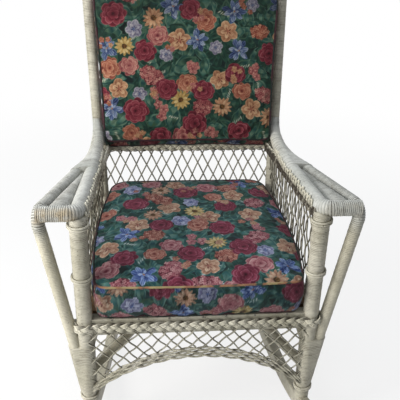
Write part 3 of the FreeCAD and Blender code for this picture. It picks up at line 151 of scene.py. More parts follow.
class Soup:
    """Points and faces of several parts of one mesh."""

    def __init__(self):
        self.verts = []
        self.faces = []
        self.crevice = []
        self.count = 0

    def add(self, verts, faces, crevice):
        self.verts.append(verts)
        self.faces += [[corner + self.count for corner in face] for face in listed(faces)]
        self.crevice.append(crevice)
        self.count += len(verts)

    def piece(self, name, material, replaces=(), slot="painted_reed"):
        made = new_mesh(name, np.concatenate(self.verts), self.faces, material,
                        crevice=np.concatenate(self.crevice))
        if replaces:
            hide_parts(*replaces)


def grid_faces(rings, around):
    """Quads between successive rings of points."""
    ring = np.arange(rings - 1)[:, None] * around
    step = np.arange(around)[None, :]
    following = (step + 1) % around
    corners = [ring + step, ring + following, ring + around + following, ring + around + step]
    return np.stack(corners, axis=-1).reshape(-1, 4)


def capped(rings, around):
    """Faces of a closed tube of rings."""
    last = (rings - 1) * around
    ends = [list(range(around))[::-1], [last + i for i in range(around)]]
    return grid_faces(rings, around).tolist() + ends


def round_angles(count):
    return np.linspace(0, 2 * np.pi, count, endpoint=False)


def tube(points, radius, sides=8, hint=(0.0, 0.0, 1.0)):
    """A tube along a line of points; radius is a number or one for each point."""
    points = np.asarray(points, float)
    tangents = unit(np.gradient(points, axis=0))
    hint = np.asarray(hint, float)
    if abs(tangents[0] @ unit(hint)) > 0.95:
        hint = np.array([1.0, 0.0, 0.0])
    normal = unit(hint - tangents[0] * (hint @ tangents[0]))
    normals = [normal]
    for tangent in tangents[1:]:
        normal = normal - tangent * (normal @ tangent)
        normal = normal / np.linalg.norm(normal)
        normals.append(normal)
    normals = np.array(normals)
    binormals = np.cross(tangents, normals)
    angle = round_angles(sides)[None, :, None]
    ring = normals[:, None, :] * np.cos(angle) + binormals[:, None, :] * np.sin(angle)
    radius = np.broadcast_to(np.asarray(radius, float), (len(points),))
    verts = points[:, None, :] + ring * radius[:, None, None]
    return verts.reshape(-1, 3), capped(len(points), sides)


def distances(points):
    """How far along a line of points each of them lies."""
    return np.concatenate([[0], np.cumsum(np.linalg.norm(np.diff(points, axis=0), axis=1))])


def resample(points, step):
    """Points at even distances along a line of points, and those distances."""
    points = np.asarray(points, float)
    lengths = distances(points)
    count = max(2, int(round(lengths[-1] / step)) + 1)
    places = np.linspace(0, lengths[-1], count)
    return np.stack([np.interp(places, lengths, points[:, i]) for i in range(3)], axis=1), places


def bent(points, bends, arc_steps=24):
    """Straight runs joined by tangent arcs, as a line of points."""
    points = [np.asarray(p, float) for p in points]
    line = [points[0]]
    for before, corner, after, bend in zip(points, points[1:], points[2:], bends):
        arrive = unit(corner - before)
        leave = unit(after - corner)
        half_turn = math.acos(np.clip(arrive @ leave, -1, 1)) / 2
        inward = unit(leave - arrive)
        centre = corner + inward * (bend / math.cos(half_turn))
        for t in np.linspace(-half_turn, half_turn, arc_steps):
            line.append(centre - inward * bend * math.cos(t) + unit(arrive + leave) * bend * math.sin(t))
    line.append(points[-1])
    return np.array(line)


def ridge(phase):
    """Height of a wound reed's round back, from 0 in the groove to 1."""
    share = phase - np.floor(phase)
    return np.sqrt(np.maximum(0.0, 1 - (2 * share - 1) ** 2))


# Darkening deepest in a winding's groove: dirt, and painted shade where the groove lies deep.
def groove_dirt_and_shade(height):
    return (1 - height) ** 0.75


def grime_and_shade(count):
    """How dark each turn's groove is, with dirt and painted shade: most a little, a few a lot."""
    return 0.2 + rng.uniform(0, 1, count) ** 2


def wound_tube(points, radii, relief=1.0, sides=30, plain_below=0.0, wide=1.0, dirt_and_shade=1.0, even=0.0):
    """A pole wound closely with reed: a tube with one helical ridge, bare up to a distance along it."""
    samples = 6
    line, places = resample(points, WIND_PITCH / samples)
    if callable(relief):
        relief = relief(places)
    steps = distances(np.asarray(points, float))
    radii = np.interp(places, steps, np.broadcast_to(radii, (len(steps),)))
    verts, faces = tube(line, radii, sides)
    verts = verts.reshape(len(line), sides, 3)
    phase = places[:, None] / WIND_PITCH - np.arange(sides)[None, :] / sides
    turn = np.floor(phase).astype(int)
    turn -= turn.min()
    wobble = rng.uniform(-0.3, 0.45, turn.max() + 1)[turn]
    height = ridge(phase)
    drop = np.reshape(relief, (-1, 1)) * (1 - height) + np.maximum(0, wobble) * 0.9
    plain = places[:, None] < plain_below
    drop = np.where(plain, 0.3, drop)
    height = np.where(plain, 1.0, height)
    inward = verts - line[:, None, :]
    verts = line[:, None, :] + inward * (1 - drop / radii[:, None])[..., None] * [wide, 1.0, 1.0]
    # The grooves between turns are darkened, more in some turns than others: dirt, and painted shade in the
    # grooves.
    soil = dirt_and_shade * (even + (1 - even) * grime_and_shade(turn.max() + 1)[turn])
    return verts.reshape(-1, 3), faces, (groove_dirt_and_shade(height) * soil).ravel()


def stadium_ring(first, first_radius, second, second_radius, normal, count):
    """Points round the hull of two circles, and the way out at each."""
    across = unit(second - first)
    side = unit(np.cross(normal, across))
    angle = (round_angles(count) + 1e-3)[:, None]
    out = across[None, :] * np.cos(angle) + side[None, :] * np.sin(angle)
    use = (second_radius + out @ second > first_radius + out @ first)[:, None]
    return np.where(use, second + out * second_radius, first + out * first_radius), out


def smooth_interp(x, xs, ys):
    """A smooth curve through values (Catmull-Rom)."""
    slopes = np.gradient(ys, xs)
    index = np.clip(np.searchsorted(xs, x, side="right") - 1, 0, len(xs) - 2)
    width = xs[index + 1] - xs[index]
    t = (x - xs[index]) / width
    a = 2 * t ** 3 - 3 * t ** 2 + 1
    b = t ** 3 - 2 * t ** 2 + t
    c = -2 * t ** 3 + 3 * t ** 2
    d = t ** 3 - t ** 2
    return a * ys[index] + b * width * slopes[index] + c * ys[index + 1] + d * width * slopes[index + 1]


def wound_hull(sections, pitch, relief, around=56):
    """A tapering hull of two circles, wound across. Sections: centre, radius, centre, radius, normal."""
    samples = 5
    rows = np.array([np.concatenate([s[0], [s[1]], s[2], [s[3]], s[4]]) for s in sections])
    steps = distances((rows[:, 0:3] + rows[:, 4:7]) / 2)
    places = np.append(np.arange(0, steps[-1], pitch / samples), steps[-1])
    rows = np.stack([smooth_interp(places, steps, column) for column in rows.T], axis=1)
    verts = []
    dirt_and_shade = []
    grimes = grime_and_shade(int(places[-1] / pitch) + 2)
    for place, row in zip(places, rows):
        ring, out = stadium_ring(row[0:3], row[3], row[4:7], row[7], unit(row[8:11]), around)
        height = ridge(np.array(place / pitch))
        jitter = 0.15 * math.sin(7.3 * math.floor(place / pitch))
        verts.append(ring - out * (relief * (1 - height) + jitter))
        # The hull's grooves are darkened the same way: dirt, and painted shade in the grooves.
        dirt_and_shade.append(np.full(around, groove_dirt_and_shade(height) * grimes[int(place / pitch)]))
    return np.concatenate(verts), capped(len(places), around), np.concatenate(dirt_and_shade)


def plait(soup, line, up, height=BRAID_HEIGHT, reed=BRAID_REED, pitch=BRAID_PITCH, lift=3.2, start=0.0,
          soil=1.0):
    """A flat plait of three strands of three reeds along a line; up is across the plait."""
    reeds = 3
    sides = 7
    line, places = resample(line, 2.6)
    tangents = unit(np.gradient(line, axis=0))
    up = np.broadcast_to(np.asarray(up, float), line.shape)
    up = unit(up - tangents * np.sum(up * tangents, axis=1, keepdims=True))
    out = np.cross(tangents, up)
    swing = (height - reeds * reed) / 2
    for strand in range(3):
        phase = 2 * np.pi * (places + start) / pitch + 2 * np.pi * strand / 3
        lean = np.arctan(swing * 2 * np.pi / pitch * np.cos(phase))
        for number in range(reeds):
            offset = (number - (reeds - 1) / 2) * reed * 1.02
            along = -np.sin(lean) * offset
            rise = swing * np.sin(phase) + np.cos(lean) * offset
            depth = lift * np.sin(2 * phase) + rng.uniform(-0.25, 0.25)
            points = line + tangents * along[:, None] + up * rise[:, None] + out * depth[:, None]
            verts, faces = tube(points, reed / 2 * rng.uniform(0.94, 1.04), sides)
            # Reeds lying deeper in the plait, and the strands where they fold at its edges, are darkened:
            # painted shade under and between the reeds.
            dirt_and_shade = np.clip(0.3 - 0.5 * depth / lift, 0, 1)
            dirt_and_shade = np.maximum(dirt_and_shade, 0.35 * (np.abs(np.cos(phase)) < 0.25))
            soup.add(verts, faces, np.repeat(dirt_and_shade, sides) * soil)


def twist(soup, line, radius, reed, pitch, start):
    """Two reeds twisted round a line like a rope; radius is given at each point of the line."""
    sides = 8
    even, places = resample(line, 2.4)
    radius = np.interp(even[:, 0], line[:, 0], radius)[:, None]
    tangents = unit(np.gradient(even, axis=0))
    upward = np.array([0.0, 0.0, 1.0])
    side = unit(upward - tangents * (tangents @ upward)[:, None])
    other = np.cross(tangents, side)
    for strand in range(2):
        phase = 2 * np.pi * (places + start) / pitch + 2 * np.pi * strand / 2
        points = even + (side * np.cos(phase)[:, None] + other * np.sin(phase)[:, None]) * radius
        verts, faces = tube(points, reed / 2, sides)
        # Both reeds are darkened where they cross in front of and behind each other: painted shade between
        # them.
        soup.add(verts, faces, np.repeat(0.15 + 0.25 * (np.cos(2 * phase) < -0.5), sides))


def inside(points, outline):
    """Which points lie in a closed outline."""
    x, y = points[:, 0][:, None], points[:, 1][:, None]
    x1, y1 = outline[:, 0], outline[:, 1]
    x2, y2 = np.roll(x1, -1), np.roll(y1, -1)
    crosses = (y1 > y) != (y2 > y)
    with np.errstate(divide="ignore", invalid="ignore"):
        at = x1 + (y - y1) / (y2 - y1) * (x2 - x1)
    return (crosses & (x < at)).sum(axis=1) % 2 == 1


def moved_in(outline, distance):
    """A counterclockwise outline moved in by a distance."""
    edges = np.roll(outline, -1, axis=0) - outline
    normals = unit(np.stack([-edges[:, 1], edges[:, 0]], axis=1))
    before = np.roll(normals, 1, axis=0)
    scale = 1 + np.sum(before * normals, axis=1, keepdims=True)
    return outline + distance * (before + normals) / scale


def lattice(outline, spacing, lean, place, reed=4.0, sway=1.6, sink=3.0):
    """Crossed reeds in a flat outline, over and under each other; place puts panel points in the chair."""
    sides = 8
    outline = np.asarray(outline, float)
    border = moved_in(outline, 5.0)
    low, high = border.min(axis=0), border.max(axis=0)
    wide, tall = high - low
    shift = tall * math.tan(lean)
    count = int((wide + shift) / spacing) + 1
    spare = (wide + shift - (count - 1) * spacing) / 2
    limit = moved_in(outline, -sink)
    middle = outline.mean(axis=0)
    outward = place(*middle, 1.0) - place(*middle, 0.0)
    # The reeds' flanks, turned away from the panel's face, are darkened as painted shade; each reed also gets
    # a little random dirt.
    flank_shade = 0.75 * np.abs(np.sin(round_angles(sides))) ** 2
    t = np.linspace(-0.25, 1.25, 240)
    soup = Soup()
    for way in (1, -1):
        first = low[0] - shift if way > 0 else low[0]
        for number in range(count):
            foot = first + spare + number * spacing
            phase = rng.uniform(0, 6.3)
            drift = sway * (np.sin(t * rng.uniform(2.5, 5) + phase) - 0.4 * np.sin(9 * t + phase))
            flat = np.stack([foot + way * shift * t + drift, low[1] + tall * t], axis=1)
            crossings = 2 * shift * t / spacing + way * number
            side = 1 if (number % 2 == 0) == (way > 0) else -1
            depth = side * reed * 0.42 * np.cos(np.pi * crossings)
            keep = inside(flat, limit)
            edges = np.flatnonzero(np.diff(np.concatenate([[0], keep.astype(int), [0]])))
            for begin, end in zip(edges[::2], edges[1::2]):
                if end - begin < 8:
                    continue
                points = place(flat[begin:end:2, 0], flat[begin:end:2, 1], depth[begin:end:2])
                verts, faces = tube(points, reed / 2 * rng.uniform(0.9, 1.05), sides, outward)
                soup.add(verts, faces, np.tile(flank_shade, len(points)) + rng.uniform(0.0, 0.25))
    return soup


# Materials
def nodes_of(name):
    material = bpy.data.materials.new(name)
    material.use_nodes = True
    tree = material.node_tree
    tree.nodes.clear()
    output = tree.nodes.new("ShaderNodeOutputMaterial")
    shader = tree.nodes.new("ShaderNodeBsdfPrincipled")
    tree.links.new(shader.outputs["BSDF"], output.inputs["Surface"])
    return material, tree, shader


def add(tree, kind, settings=(), **inputs):
    """A shader node; inputs are values or sockets, named with _ for a space, or i and a number."""
    node = tree.nodes.new(kind)
    for key, value in dict(settings).items():
        setattr(node, key, value)
    for key, value in inputs.items():
        socket = node.inputs[int(key[1:]) if key[1:].isdigit() else key.replace("_", " ")]
        if isinstance(value, bpy.types.NodeSocket):
            tree.links.new(value, socket)
        else:
            socket.default_value = value
    return node


def tones(*codes):
    """sRGB colours from six-digit codes, as an array."""
    return np.array([[int(code[i:i + 2], 16) / 255 for i in (0, 2, 4)] for code in codes])


def linear(srgb):
    value = np.clip(srgb, 0, 1)
    return np.where(value <= 0.04045, value / 12.92, ((value + 0.055) / 1.055) ** 2.4)


def rgb(code):
    return (*linear(tones(code)[0]).tolist(), 1.0)


def mix(tree, share, first, second, blend="MIX"):
    return add(tree, "ShaderNodeMix", {"data_type": "RGBA", "blend_type": blend},
               i0=share, i6=first, i7=second).outputs[2]


def calc(tree, operation, first, second, clamp=False):
    return add(tree, "ShaderNodeMath", {"operation": operation, "use_clamp": clamp},
               i0=first, i1=second).outputs[0]


def band(tree, value, low, high, out_low=0.0, out_high=1.0):
    return add(tree, "ShaderNodeMapRange", {"interpolation_type": "SMOOTHSTEP"},
               i0=value, i1=low, i2=high, i3=out_low, i4=out_high).outputs[0]


def noise(tree, where, scale, detail=3.0, roughness=0.55, distortion=0.0):
    return add(tree, "ShaderNodeTexNoise", Vector=where, Scale=scale, Detail=detail,
               Roughness=roughness, Distortion=distortion).outputs[0]


def object_place(tree):
    return add(tree, "ShaderNodeTexCoord").outputs["Object"]


def finish_shader(tree, shader, colour, rough, specular, bump_height, strength, depth):
    """Sets the colour, gloss and bump of a material's shader; depth is in metres."""
    if isinstance(colour, bpy.types.NodeSocket):
        tree.links.new(colour, shader.inputs["Base Color"])
    else:
        shader.inputs["Base Color"].default_value = colour
    shader.inputs["Roughness"].default_value = rough
    shader.inputs["Specular IOR Level"].default_value = specular
    bump = add(tree, "ShaderNodeBump", Strength=strength, Distance=depth, Height=bump_height)
    tree.links.new(bump.outputs[0], shader.inputs["Normal"])


def stained_front(tree, where, tone, colour, stain):
    """Warm paint on the poles below the arms, where the arms' cool tint of painted sky light ends, and a
    stain on the front face of the left arm's end.
    """
    x, y, z = add(tree, "ShaderNodeSeparateXYZ", i0=where).outputs
    warm = mix(tree, tone, rgb("cfcab8"), rgb("bab5a1"))
    colour = mix(tree, band(tree, z, 0.57, 0.63), warm, colour)
    edge = calc(tree, "MULTIPLY", band(tree, y, -0.303, -0.29, 1.0, 0.0),
                band(tree, noise(tree, where, 30.0, 3.0, 0.7), 0.3, 0.66, 0.1, 0.7))
    edge = calc(tree, "MULTIPLY", edge, band(tree, z, 0.612, 0.63), clamp=True)
    edge = calc(tree, "MULTIPLY", edge, band(tree, x, -0.1, 0.1, 1.0, 0.3))
    return mix(tree, edge, colour, rgb(stain))


def painted(name, pale, shade, dirt_and_shade, dirt_and_shade_share, wear, rough=0.5, front_stain=None):
    """Old thick paint: uneven tone, wear in streaks, dirt and painted shade in the grooves, and small dark
    specks.
    """
    material, tree, shader = nodes_of(name)
    where = object_place(tree)
    tone = band(tree, noise(tree, where, 7.0, 5.0, 0.68), 0.36, 0.64)
    colour = mix(tree, tone, rgb(pale), rgb(shade))
    streaks = band(tree, noise(tree, where, 75.0, 3.0, 0.7), 0.42, 0.72, 0.0, wear)
    colour = mix(tree, streaks, colour, rgb(dirt_and_shade))
    if front_stain:
        colour = stained_front(tree, where, tone, colour, front_stain)
    # Grooves, recesses and hidden flanks darken towards the dirt colour by the crevice share: partly real
    # dirt, partly painted shade.
    crevice = add(tree, "ShaderNodeAttribute", {"attribute_name": "crevice"}).outputs["Fac"]
    patch = band(tree, noise(tree, where, 18.0, 4.0, 0.7), 0.34, 0.66, 0.45, 1.25)
    grooves = calc(tree, "MULTIPLY", calc(tree, "MULTIPLY", crevice, patch), dirt_and_shade_share, clamp=True)
    colour = mix(tree, grooves, colour, rgb(dirt_and_shade))
    specks = band(tree, noise(tree, where, 260.0, 1.0, 0.5), 0.68, 0.73)
    specks = calc(tree, "MULTIPLY", specks, band(tree, noise(tree, where, 14.0, 2.0), 0.42, 0.6), clamp=True)
    colour = mix(tree, calc(tree, "MULTIPLY", specks, 0.75), colour, rgb("403a2e"))
    finish_shader(tree, shader, colour, rough, 0.3, noise(tree, where, 190.0, 2.0, 0.6), 0.35, 0.0008)
    return material


wicker = painted("painted_reed", "c9c5b6", "b3af9e", "4f4939", 1.15, 0.26)
# The arms' paint is a cooler copy of the wicker's paint: painted sky light on the arms, warm again below
# them.
wicker_sky_tint = painted("painted_reed_arms", "c9cac5", "b1b3ad", "4f4b40", 1.1, 0.28, front_stain="a08a62")
ropes = painted("painted_rope", "dad6c6", "bebaa7", "39332a", 1.25, 0.4, rough=0.55)
strands = painted("painted_lattice", "c6c3b4", "a9a694", "443e30", 1.2, 0.42)
paint = painted("painted_wood", "bfbbab", "a6a290", "4f4939", 0.8, 0.36, rough=0.45)

bare, tree, shader = nodes_of("bare_hardwood")
stretched = add(tree, "ShaderNodeMapping", i0=object_place(tree), Scale=(1.0, 9.0, 9.0))
grain = noise(tree, stretched.outputs[0], 18.0, 5.0, 0.6, 0.4)
finish_shader(tree, shader, mix(tree, band(tree, grain, 0.3, 0.7), rgb("7d6040"), rgb("59422a")),
              0.62, 0.5, grain, 0.3, 0.0004)

steel, tree, shader = nodes_of("steel")
shader.inputs["Metallic"].default_value = 1.0
finish_shader(tree, shader, rgb("7d7a74"), 0.42, 0.5,
              noise(tree, object_place(tree), 400.0, 2.0), 0.2, 0.0002)


# Wound poles
def both(name, parts, material, node):
    """A piece and its mirror image; the winding differs a little between them."""
    for side, suffix in ((1, "_right"), (-1, "_left")):
        soup = Soup()
        verts, faces, dirt_and_shade = parts()
        if side < 0:
            verts = verts * [-1, 1, 1]
            faces = [face[::-1] for face in faces]
        soup.add(verts, faces, dirt_and_shade)
        soup.piece(name + suffix, material, [node + suffix], "wrapped_pole")


def front_leg():
    heights = np.linspace(LEG_FOOT - 3, 629.0, 60)
    return wound_tube(points_of(front_leg_x(heights), FRONT_Y, heights), front_leg_radius(heights),
                      plain_below=17.0)


# Arms: a heavy inner pole that turns out at the front, a lighter outer one that runs down as a brace
SPLIT_Y = -35.0
SPLIT_INNER = np.array([255.0, SPLIT_Y, arm_height(SPLIT_Y)])
SPLIT_OUTER = np.array([294.0, SPLIT_Y, arm_height(SPLIT_Y)])
LEG_HEAD = np.array([LEG_HEAD_X, FRONT_Y, ARM_HEIGHT])
ARM_CORNER = np.array([351.0, FRONT_Y, ARM_HEIGHT])
BRACE_FOOT = np.array([280.0, FRONT_Y, 190.0])


def pole_line(split, corner, end, bend):
    """An arm pole's line, from a little way inside the web behind it."""
    return bent([split + unit(split - corner) * 26, corner, end], [bend])


def arm_inner():
    line = pole_line(SPLIT_INNER, LEG_HEAD, ARM_CORNER - [2.0, 0, 0], 24.0)
    verts, faces, soil = wound_tube(line, INNER_RADIUS, sides=34, dirt_and_shade=0.75,
                                    relief=lambda places: np.interp(places, [250, 285], [0.8, 1.8]))
    return verts, faces, soil * np.interp(verts[:, 0], [262, 290], [1.0, 2.2])


def arm_outer():
    verts, faces, soil = wound_tube(pole_line(SPLIT_OUTER, ARM_CORNER, BRACE_FOOT, 27.0), OUTER_RADIUS,
                                    relief=1.5, sides=28, dirt_and_shade=1.6, even=0.6)
    return verts, faces, soil * np.clip((verts[:, 2] - 520) / 120, 0.4, 1)


def arm_middle():
    front_y = FRONT_Y + 6
    rear = np.array([276.1, SPLIT_Y, arm_height(SPLIT_Y)])
    front = np.array([307.0, front_y, arm_height(front_y)])
    return wound_tube(np.linspace(rear + unit(rear - front) * 10, front, 40), np.linspace(2.6, 17.5, 40),
                      relief=1.5, wide=1.4, dirt_and_shade=1.9, even=0.7)


both("wound_front_leg", front_leg, wicker, "front_leg")
both("arm_inner_pole", arm_inner, wicker_sky_tint, "arm_inner_rail")
both("arm_outer_pole", arm_outer, wicker_sky_tint, "arm_outer_rail")
both("arm_middle_pole", arm_middle, wicker_sky_tint, "arm_middle_rail")

# Web behind the arm, and the sleeve that binds the brace to the leg
UP = np.array([0.0, 0.0, 1.0])
ARM_BACK = unit(np.array([0.0, 453.0, -50.0]))
BACK_UP = np.array([0.0, math.sin(RAKE), math.cos(RAKE)])
MEET_ALONG = (arm_height(REAR_Y) - BACK_FOOT) / math.cos(RAKE)
WEB_RUN = on_back(0, MEET_ALONG, -POST_RADIUS)[1] - SPLIT_Y
WEB_CLIMB = 56.0
WEB_ROWS = ((0.0, 0.0, 0.0, 1.0, 0.0), (0.3, 0.0, 0.6, 0.97, 0.03),
            (0.55, 0.4, 0.83, 0.94, 0.12), (0.84, 0.9, 0.87, 0.87, 0.4))
SLEEVE_FOOT = 134.0
SLEEVE_TOP = 282.0
SLEEVE_SKIN = 2.0


def web():
    """From the two poles, drawn together and turned up, to a tip on the post."""
    meet_x = post_x(MEET_ALONG)
    sections = []
    for place, inner_share, outer_share, shrink, tilt in WEB_ROWS:
        y = SPLIT_Y + place * WEB_RUN
        z = arm_height(y) + tilt * WEB_CLIMB / 2
        first = np.array([SPLIT_INNER[0] + inner_share * (meet_x - SPLIT_INNER[0]), y, z])
        second = np.array([SPLIT_OUTER[0] + outer_share * (meet_x - SPLIT_OUTER[0]), y, z])
        normal = unit(ARM_BACK * (1 - tilt) + BACK_UP * tilt)
        sections.append((first, 19.5 * shrink, second, 16.0 * shrink, normal))
    climb = MEET_ALONG + 0.34 * WEB_CLIMB
    first = on_back(post_x(climb) - 1.5, climb, -POST_RADIUS)
    sections.append((first, 15.5, first + [3.0, 0, 0], 14.5, unit(ARM_BACK * 0.25 + BACK_UP * 0.75)))
    tip = MEET_ALONG + WEB_CLIMB
    first = on_back(post_x(tip), tip, -9.0)
    sections.append((first, 9.0, first + [4.5, 0, 0], 9.0, BACK_UP))
    return wound_hull(sections, 4.6, 0.7)


def sleeve():
    sections = []
    foot_x = front_leg_x(SLEEVE_FOOT) + (front_leg_radius(SLEEVE_FOOT) + SLEEVE_SKIN) / 2
    head_x = np.interp(SLEEVE_TOP, [BRACE_FOOT[2], ARM_HEIGHT], [BRACE_FOOT[0], ARM_CORNER[0]])
    for share in (0.0, 0.33, 0.67, 1.0):
        z = SLEEVE_FOOT + share * (SLEEVE_TOP - SLEEVE_FOOT)
        foot = np.array([foot_x, FRONT_Y, z])
        head = np.array([head_x, FRONT_Y, z])
        sections.append((np.array([front_leg_x(z), FRONT_Y, z]), front_leg_radius(z) + SLEEVE_SKIN,
                         foot + (head - foot) * share, 11.5 + share * 5.0, UP))
    return wound_hull(sections, 5.2, 0.9)


both("arm_back_web", web, wicker_sky_tint, "arm_back_wrap")
both("leg_brace_sleeve", sleeve, wicker, "leg_brace_wrap")

# Hoop of the back
hoop_line = bent([on_back(POST_FOOT_X, -3), on_back(POST_TOP_X, POST_TOP), on_back(0, HOOP_TOP),
                  on_back(-POST_TOP_X, POST_TOP), on_back(-POST_FOOT_X, -3)],
                 [HOOP_BEND, CROWN_BEND, HOOP_BEND], 60)
soup = Soup()
soup.add(*wound_tube(hoop_line, POST_RADIUS))
soup.piece("wound_hoop", wicker, ["back_hoop"], "wrapped_pole")

# Braids
SIDES = ((1, "_right"), (-1, "_left"))
BRAID_Z = 341.5
LOOP_STEP = 19.0


def braid(name, node, line, up=UP, **settings):
    soup = Soup()
    plait(soup, line, up, **settings)
    soup.piece(name, ropes, [node])


def edge_loop(foot, side):
    """A light loop of reed over the inner edge of an arm."""
    t = np.linspace(0, 1, 14)
    y = foot + 27 * t
    rise = -7.5 + (18.5 + rng.uniform(-2, 2)) * np.sin(np.pi * t ** 0.8)
    axis_x = np.interp(y, [FRONT_Y, SPLIT_Y, 150], [LEG_HEAD_X, SPLIT_INNER[0], 256.5])
    reach = np.interp(y, [-36, -30, 150], [INNER_RADIUS, 19.5, 17.2])
    flank = axis_x - np.sqrt(reach ** 2 - rise ** 2) - 1.6 - 1.4 * np.sin(np.pi * t)
    line = points_of(flank * side, y, arm_height(y) + rise)
    verts, faces = tube(line, 2.5 * (1 - 0.25 * np.abs(2 * t - 1) ** 3))
    # The loop is darkened where it dips below the pole: painted shade under the pole.
    return verts, faces, np.repeat(0.05 + 0.8 * np.clip(-rise / 7.5, 0, 1), 8)


turn = np.radians(np.linspace(218, 395, 24))
round_leg = points_of(front_leg_x(341.0) + 23.2 * np.cos(turn), FRONT_Y + 23.2 * np.sin(turn), BRAID_Z)
front_line = np.concatenate([(round_leg * [-1, 1, 1])[::-1],
                             points_of(np.linspace(-236, 236, 60), -304.8, BRAID_Z), round_leg])
braid("seat_front_plait", "front_braid", front_line, lift=3.0)
for side, suffix in SIDES:
    braid("seat_side_plait" + suffix, "seat_side_braid" + suffix,
          np.array([[285.6 * side, -272, 335.5], [262.4 * side, 161, 335.5]]), start=31 * side)
    # The arm plaits are darkened heavily on the right and lightly on the left: painted shade on the right
    # plait and painted light on the left one.
    braid("arm_plait" + suffix, "arm_braid" + suffix,
          np.array([[249 * side, -284.5, 625.9], [231.2 * side, 219.5, 570.3]]),
          height=26.0, reed=4.1, pitch=78.0, start=17 * side, soil=1.7 if side > 0 else 0.6)
    soup = Soup()
    for foot in np.arange(-274.0, 118.0, LOOP_STEP) + rng.uniform(-2.5, 2.5, 21):
        soup.add(*edge_loop(foot, side))
    soup.piece("arm_edge_loops" + suffix, ropes)
braid("back_band_plait", "back_band", on_back(np.linspace(-251, 251, 40), 238.0, -16.5), BACK_UP)

# Apron: three twisted ropes in an arch, with a lattice above
APRON_HALF = 262.0
APRON_Y = -304.5


def arc_height(x, crown, end):
    rise = crown - end
    radius = (APRON_HALF ** 2 + rise ** 2) / (2 * rise)
    return crown - radius + np.sqrt(radius ** 2 - x ** 2)


def crossed_reeds(name, node, outline, spacing, degrees, place, **settings):
    lattice(outline, spacing, math.radians(degrees), place, **settings).piece(name, strands, [node])


soup = Soup()
x = np.linspace(-APRON_HALF, APRON_HALF, 140)
low = arc_height(x, 242.0, 136.0)
high = arc_height(x, 275.0, 156.0)
for row, share in enumerate((0.17, 0.5, 0.83)):
    twist(soup, points_of(x, APRON_Y, low + (high - low) * share),
          np.interp(np.abs(x), [0, 180, APRON_HALF], [3.0, 2.7, 1.4]), 4.8, 84.0, row * 29)
soup.piece("apron_arch_ropes", ropes, ["apron_arch"])

x = np.linspace(-APRON_HALF, APRON_HALF, 60)
apron_outline = np.concatenate([np.stack([x, arc_height(x, 275.3, 156.3)], axis=1),
                                [[APRON_HALF, 326.7], [-APRON_HALF, 326.7]]])
crossed_reeds("apron_crossed_reeds", "apron_lattice", apron_outline, 33.0, 42,
              lambda x, y, z: points_of(x, APRON_Y - z, y), sway=3.2)

# Lattices of the back and the sides
EDGE = 12.4
SEAT_FOOT = 362.3
UPPER_FOOT = 248.3


def back_edge(along):
    return post_x(along) - EDGE


low_along = (SEAT_FOOT - BACK_FOOT) / math.cos(RAKE) + 0.7
lower_outline = [(way * back_edge(along), along)
                 for way, along in ((-1, low_along), (1, low_along), (1, 227.7), (-1, 227.7))]
crossed_reeds("lower_back_crossed_reeds", "lower_back_lattice", lower_outline, 30.5, 27,
              lambda x, y, z: on_back(x, y, -z), sink=5.0)

upper_outline = bent([(back_edge(UPPER_FOOT), UPPER_FOOT, 0), (POST_TOP_X - EDGE, POST_TOP - EDGE, 0),
                      (0, HOOP_TOP - EDGE, 0), (EDGE - POST_TOP_X, POST_TOP - EDGE, 0),
                      (-back_edge(UPPER_FOOT), UPPER_FOOT, 0)],
                     [HOOP_BEND - EDGE, CROWN_BEND - EDGE, HOOP_BEND - EDGE], 40)[:, :2]
crossed_reeds("upper_back_crossed_reeds", "upper_back_lattice", upper_outline, 42.0, 27,
              lambda x, y, z: on_back(x, y, 2.1 - z), reed=4.2)

side_foot = np.array([268.0, FRONT_Y, 350.3])
side_head = np.array([259.5, FRONT_Y, 622.0])
side_along = unit(np.array([-14.5 / TREAD, 1.0, 0.0]))
side_up = side_head - side_foot
side_up = unit(side_up - side_along * (side_up @ side_along))
side_normal = np.cross(side_along, side_up)
panel_height = np.linalg.norm(side_head - side_foot)
front_edge = front_leg_radius(SEAT) * 0.8
rear_low = TREAD + (350.0 - BACK_FOOT) * math.tan(RAKE) - POST_RADIUS * 0.8 / math.cos(RAKE)
rear_high = rear_low + (panel_height - 50.0) * math.tan(RAKE)
side_outline = [(front_edge, 0), (rear_low, 0), (rear_high, panel_height - rear_high * ARM_SLOPE),
                (front_edge, panel_height - front_edge * ARM_SLOPE)]


def on_side(x, y, z):
    outer = np.multiply.outer
    return side_foot + outer(x, side_along) + outer(y, side_up) + outer(z, side_normal)


for side, suffix in SIDES:
    crossed_reeds("side_crossed_reeds" + suffix, "side_lattice" + suffix, side_outline, 30.0, 24,
                  lambda x, y, z: on_side(x, y, z) * [side, 1, 1], sway=4.2)

# Small nail heads along the front rail
soup = Soup()
rise = np.array([[0.0], [0.8], [1.5], [1.9]])
reach = np.array([[2.9], [2.6], [1.7], [0.3]])
turn = round_angles(12)
for x in (-204, -143, -71, 8, 62, 131, 207):
    dome = points_of(x + reach * np.cos(turn), -297.8 - rise, 359.6 + reach * np.sin(turn))
    soup.add(dome.reshape(-1, 3), grid_faces(4, 12), np.full(48, 0.9))
soup.piece("rail_nail_heads", steel, (), "steel")

# Finishes of the CAD pieces that stay
FINISHES = (
    (paint, ("rocker", "rear_leg", "cross_brace_upper", "cross_brace_lower", "knee_strut", "seat_front_rail",
             "seat_rear_rail", "seat_side_rail")),
    (wicker, ("leg_lower_ring", "leg_middle_ring", "leg_upper_ring", "back_cross_rail")),
    (bare, ("seat_slats", "seat_corner_blocks", "seat_rail_dowels", "post_dowels")),
    (steel, ("slat_screws", "cross_brace_bolt")),
)
for name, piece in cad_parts.items():
    finish = next((made for made, starts in FINISHES if name.startswith(starts)), None)
    if finish is not None:
        for holder in piece.material_slots:
            holder.material = finish
        if not piece.material_slots:
            piece.data.materials.append(finish)

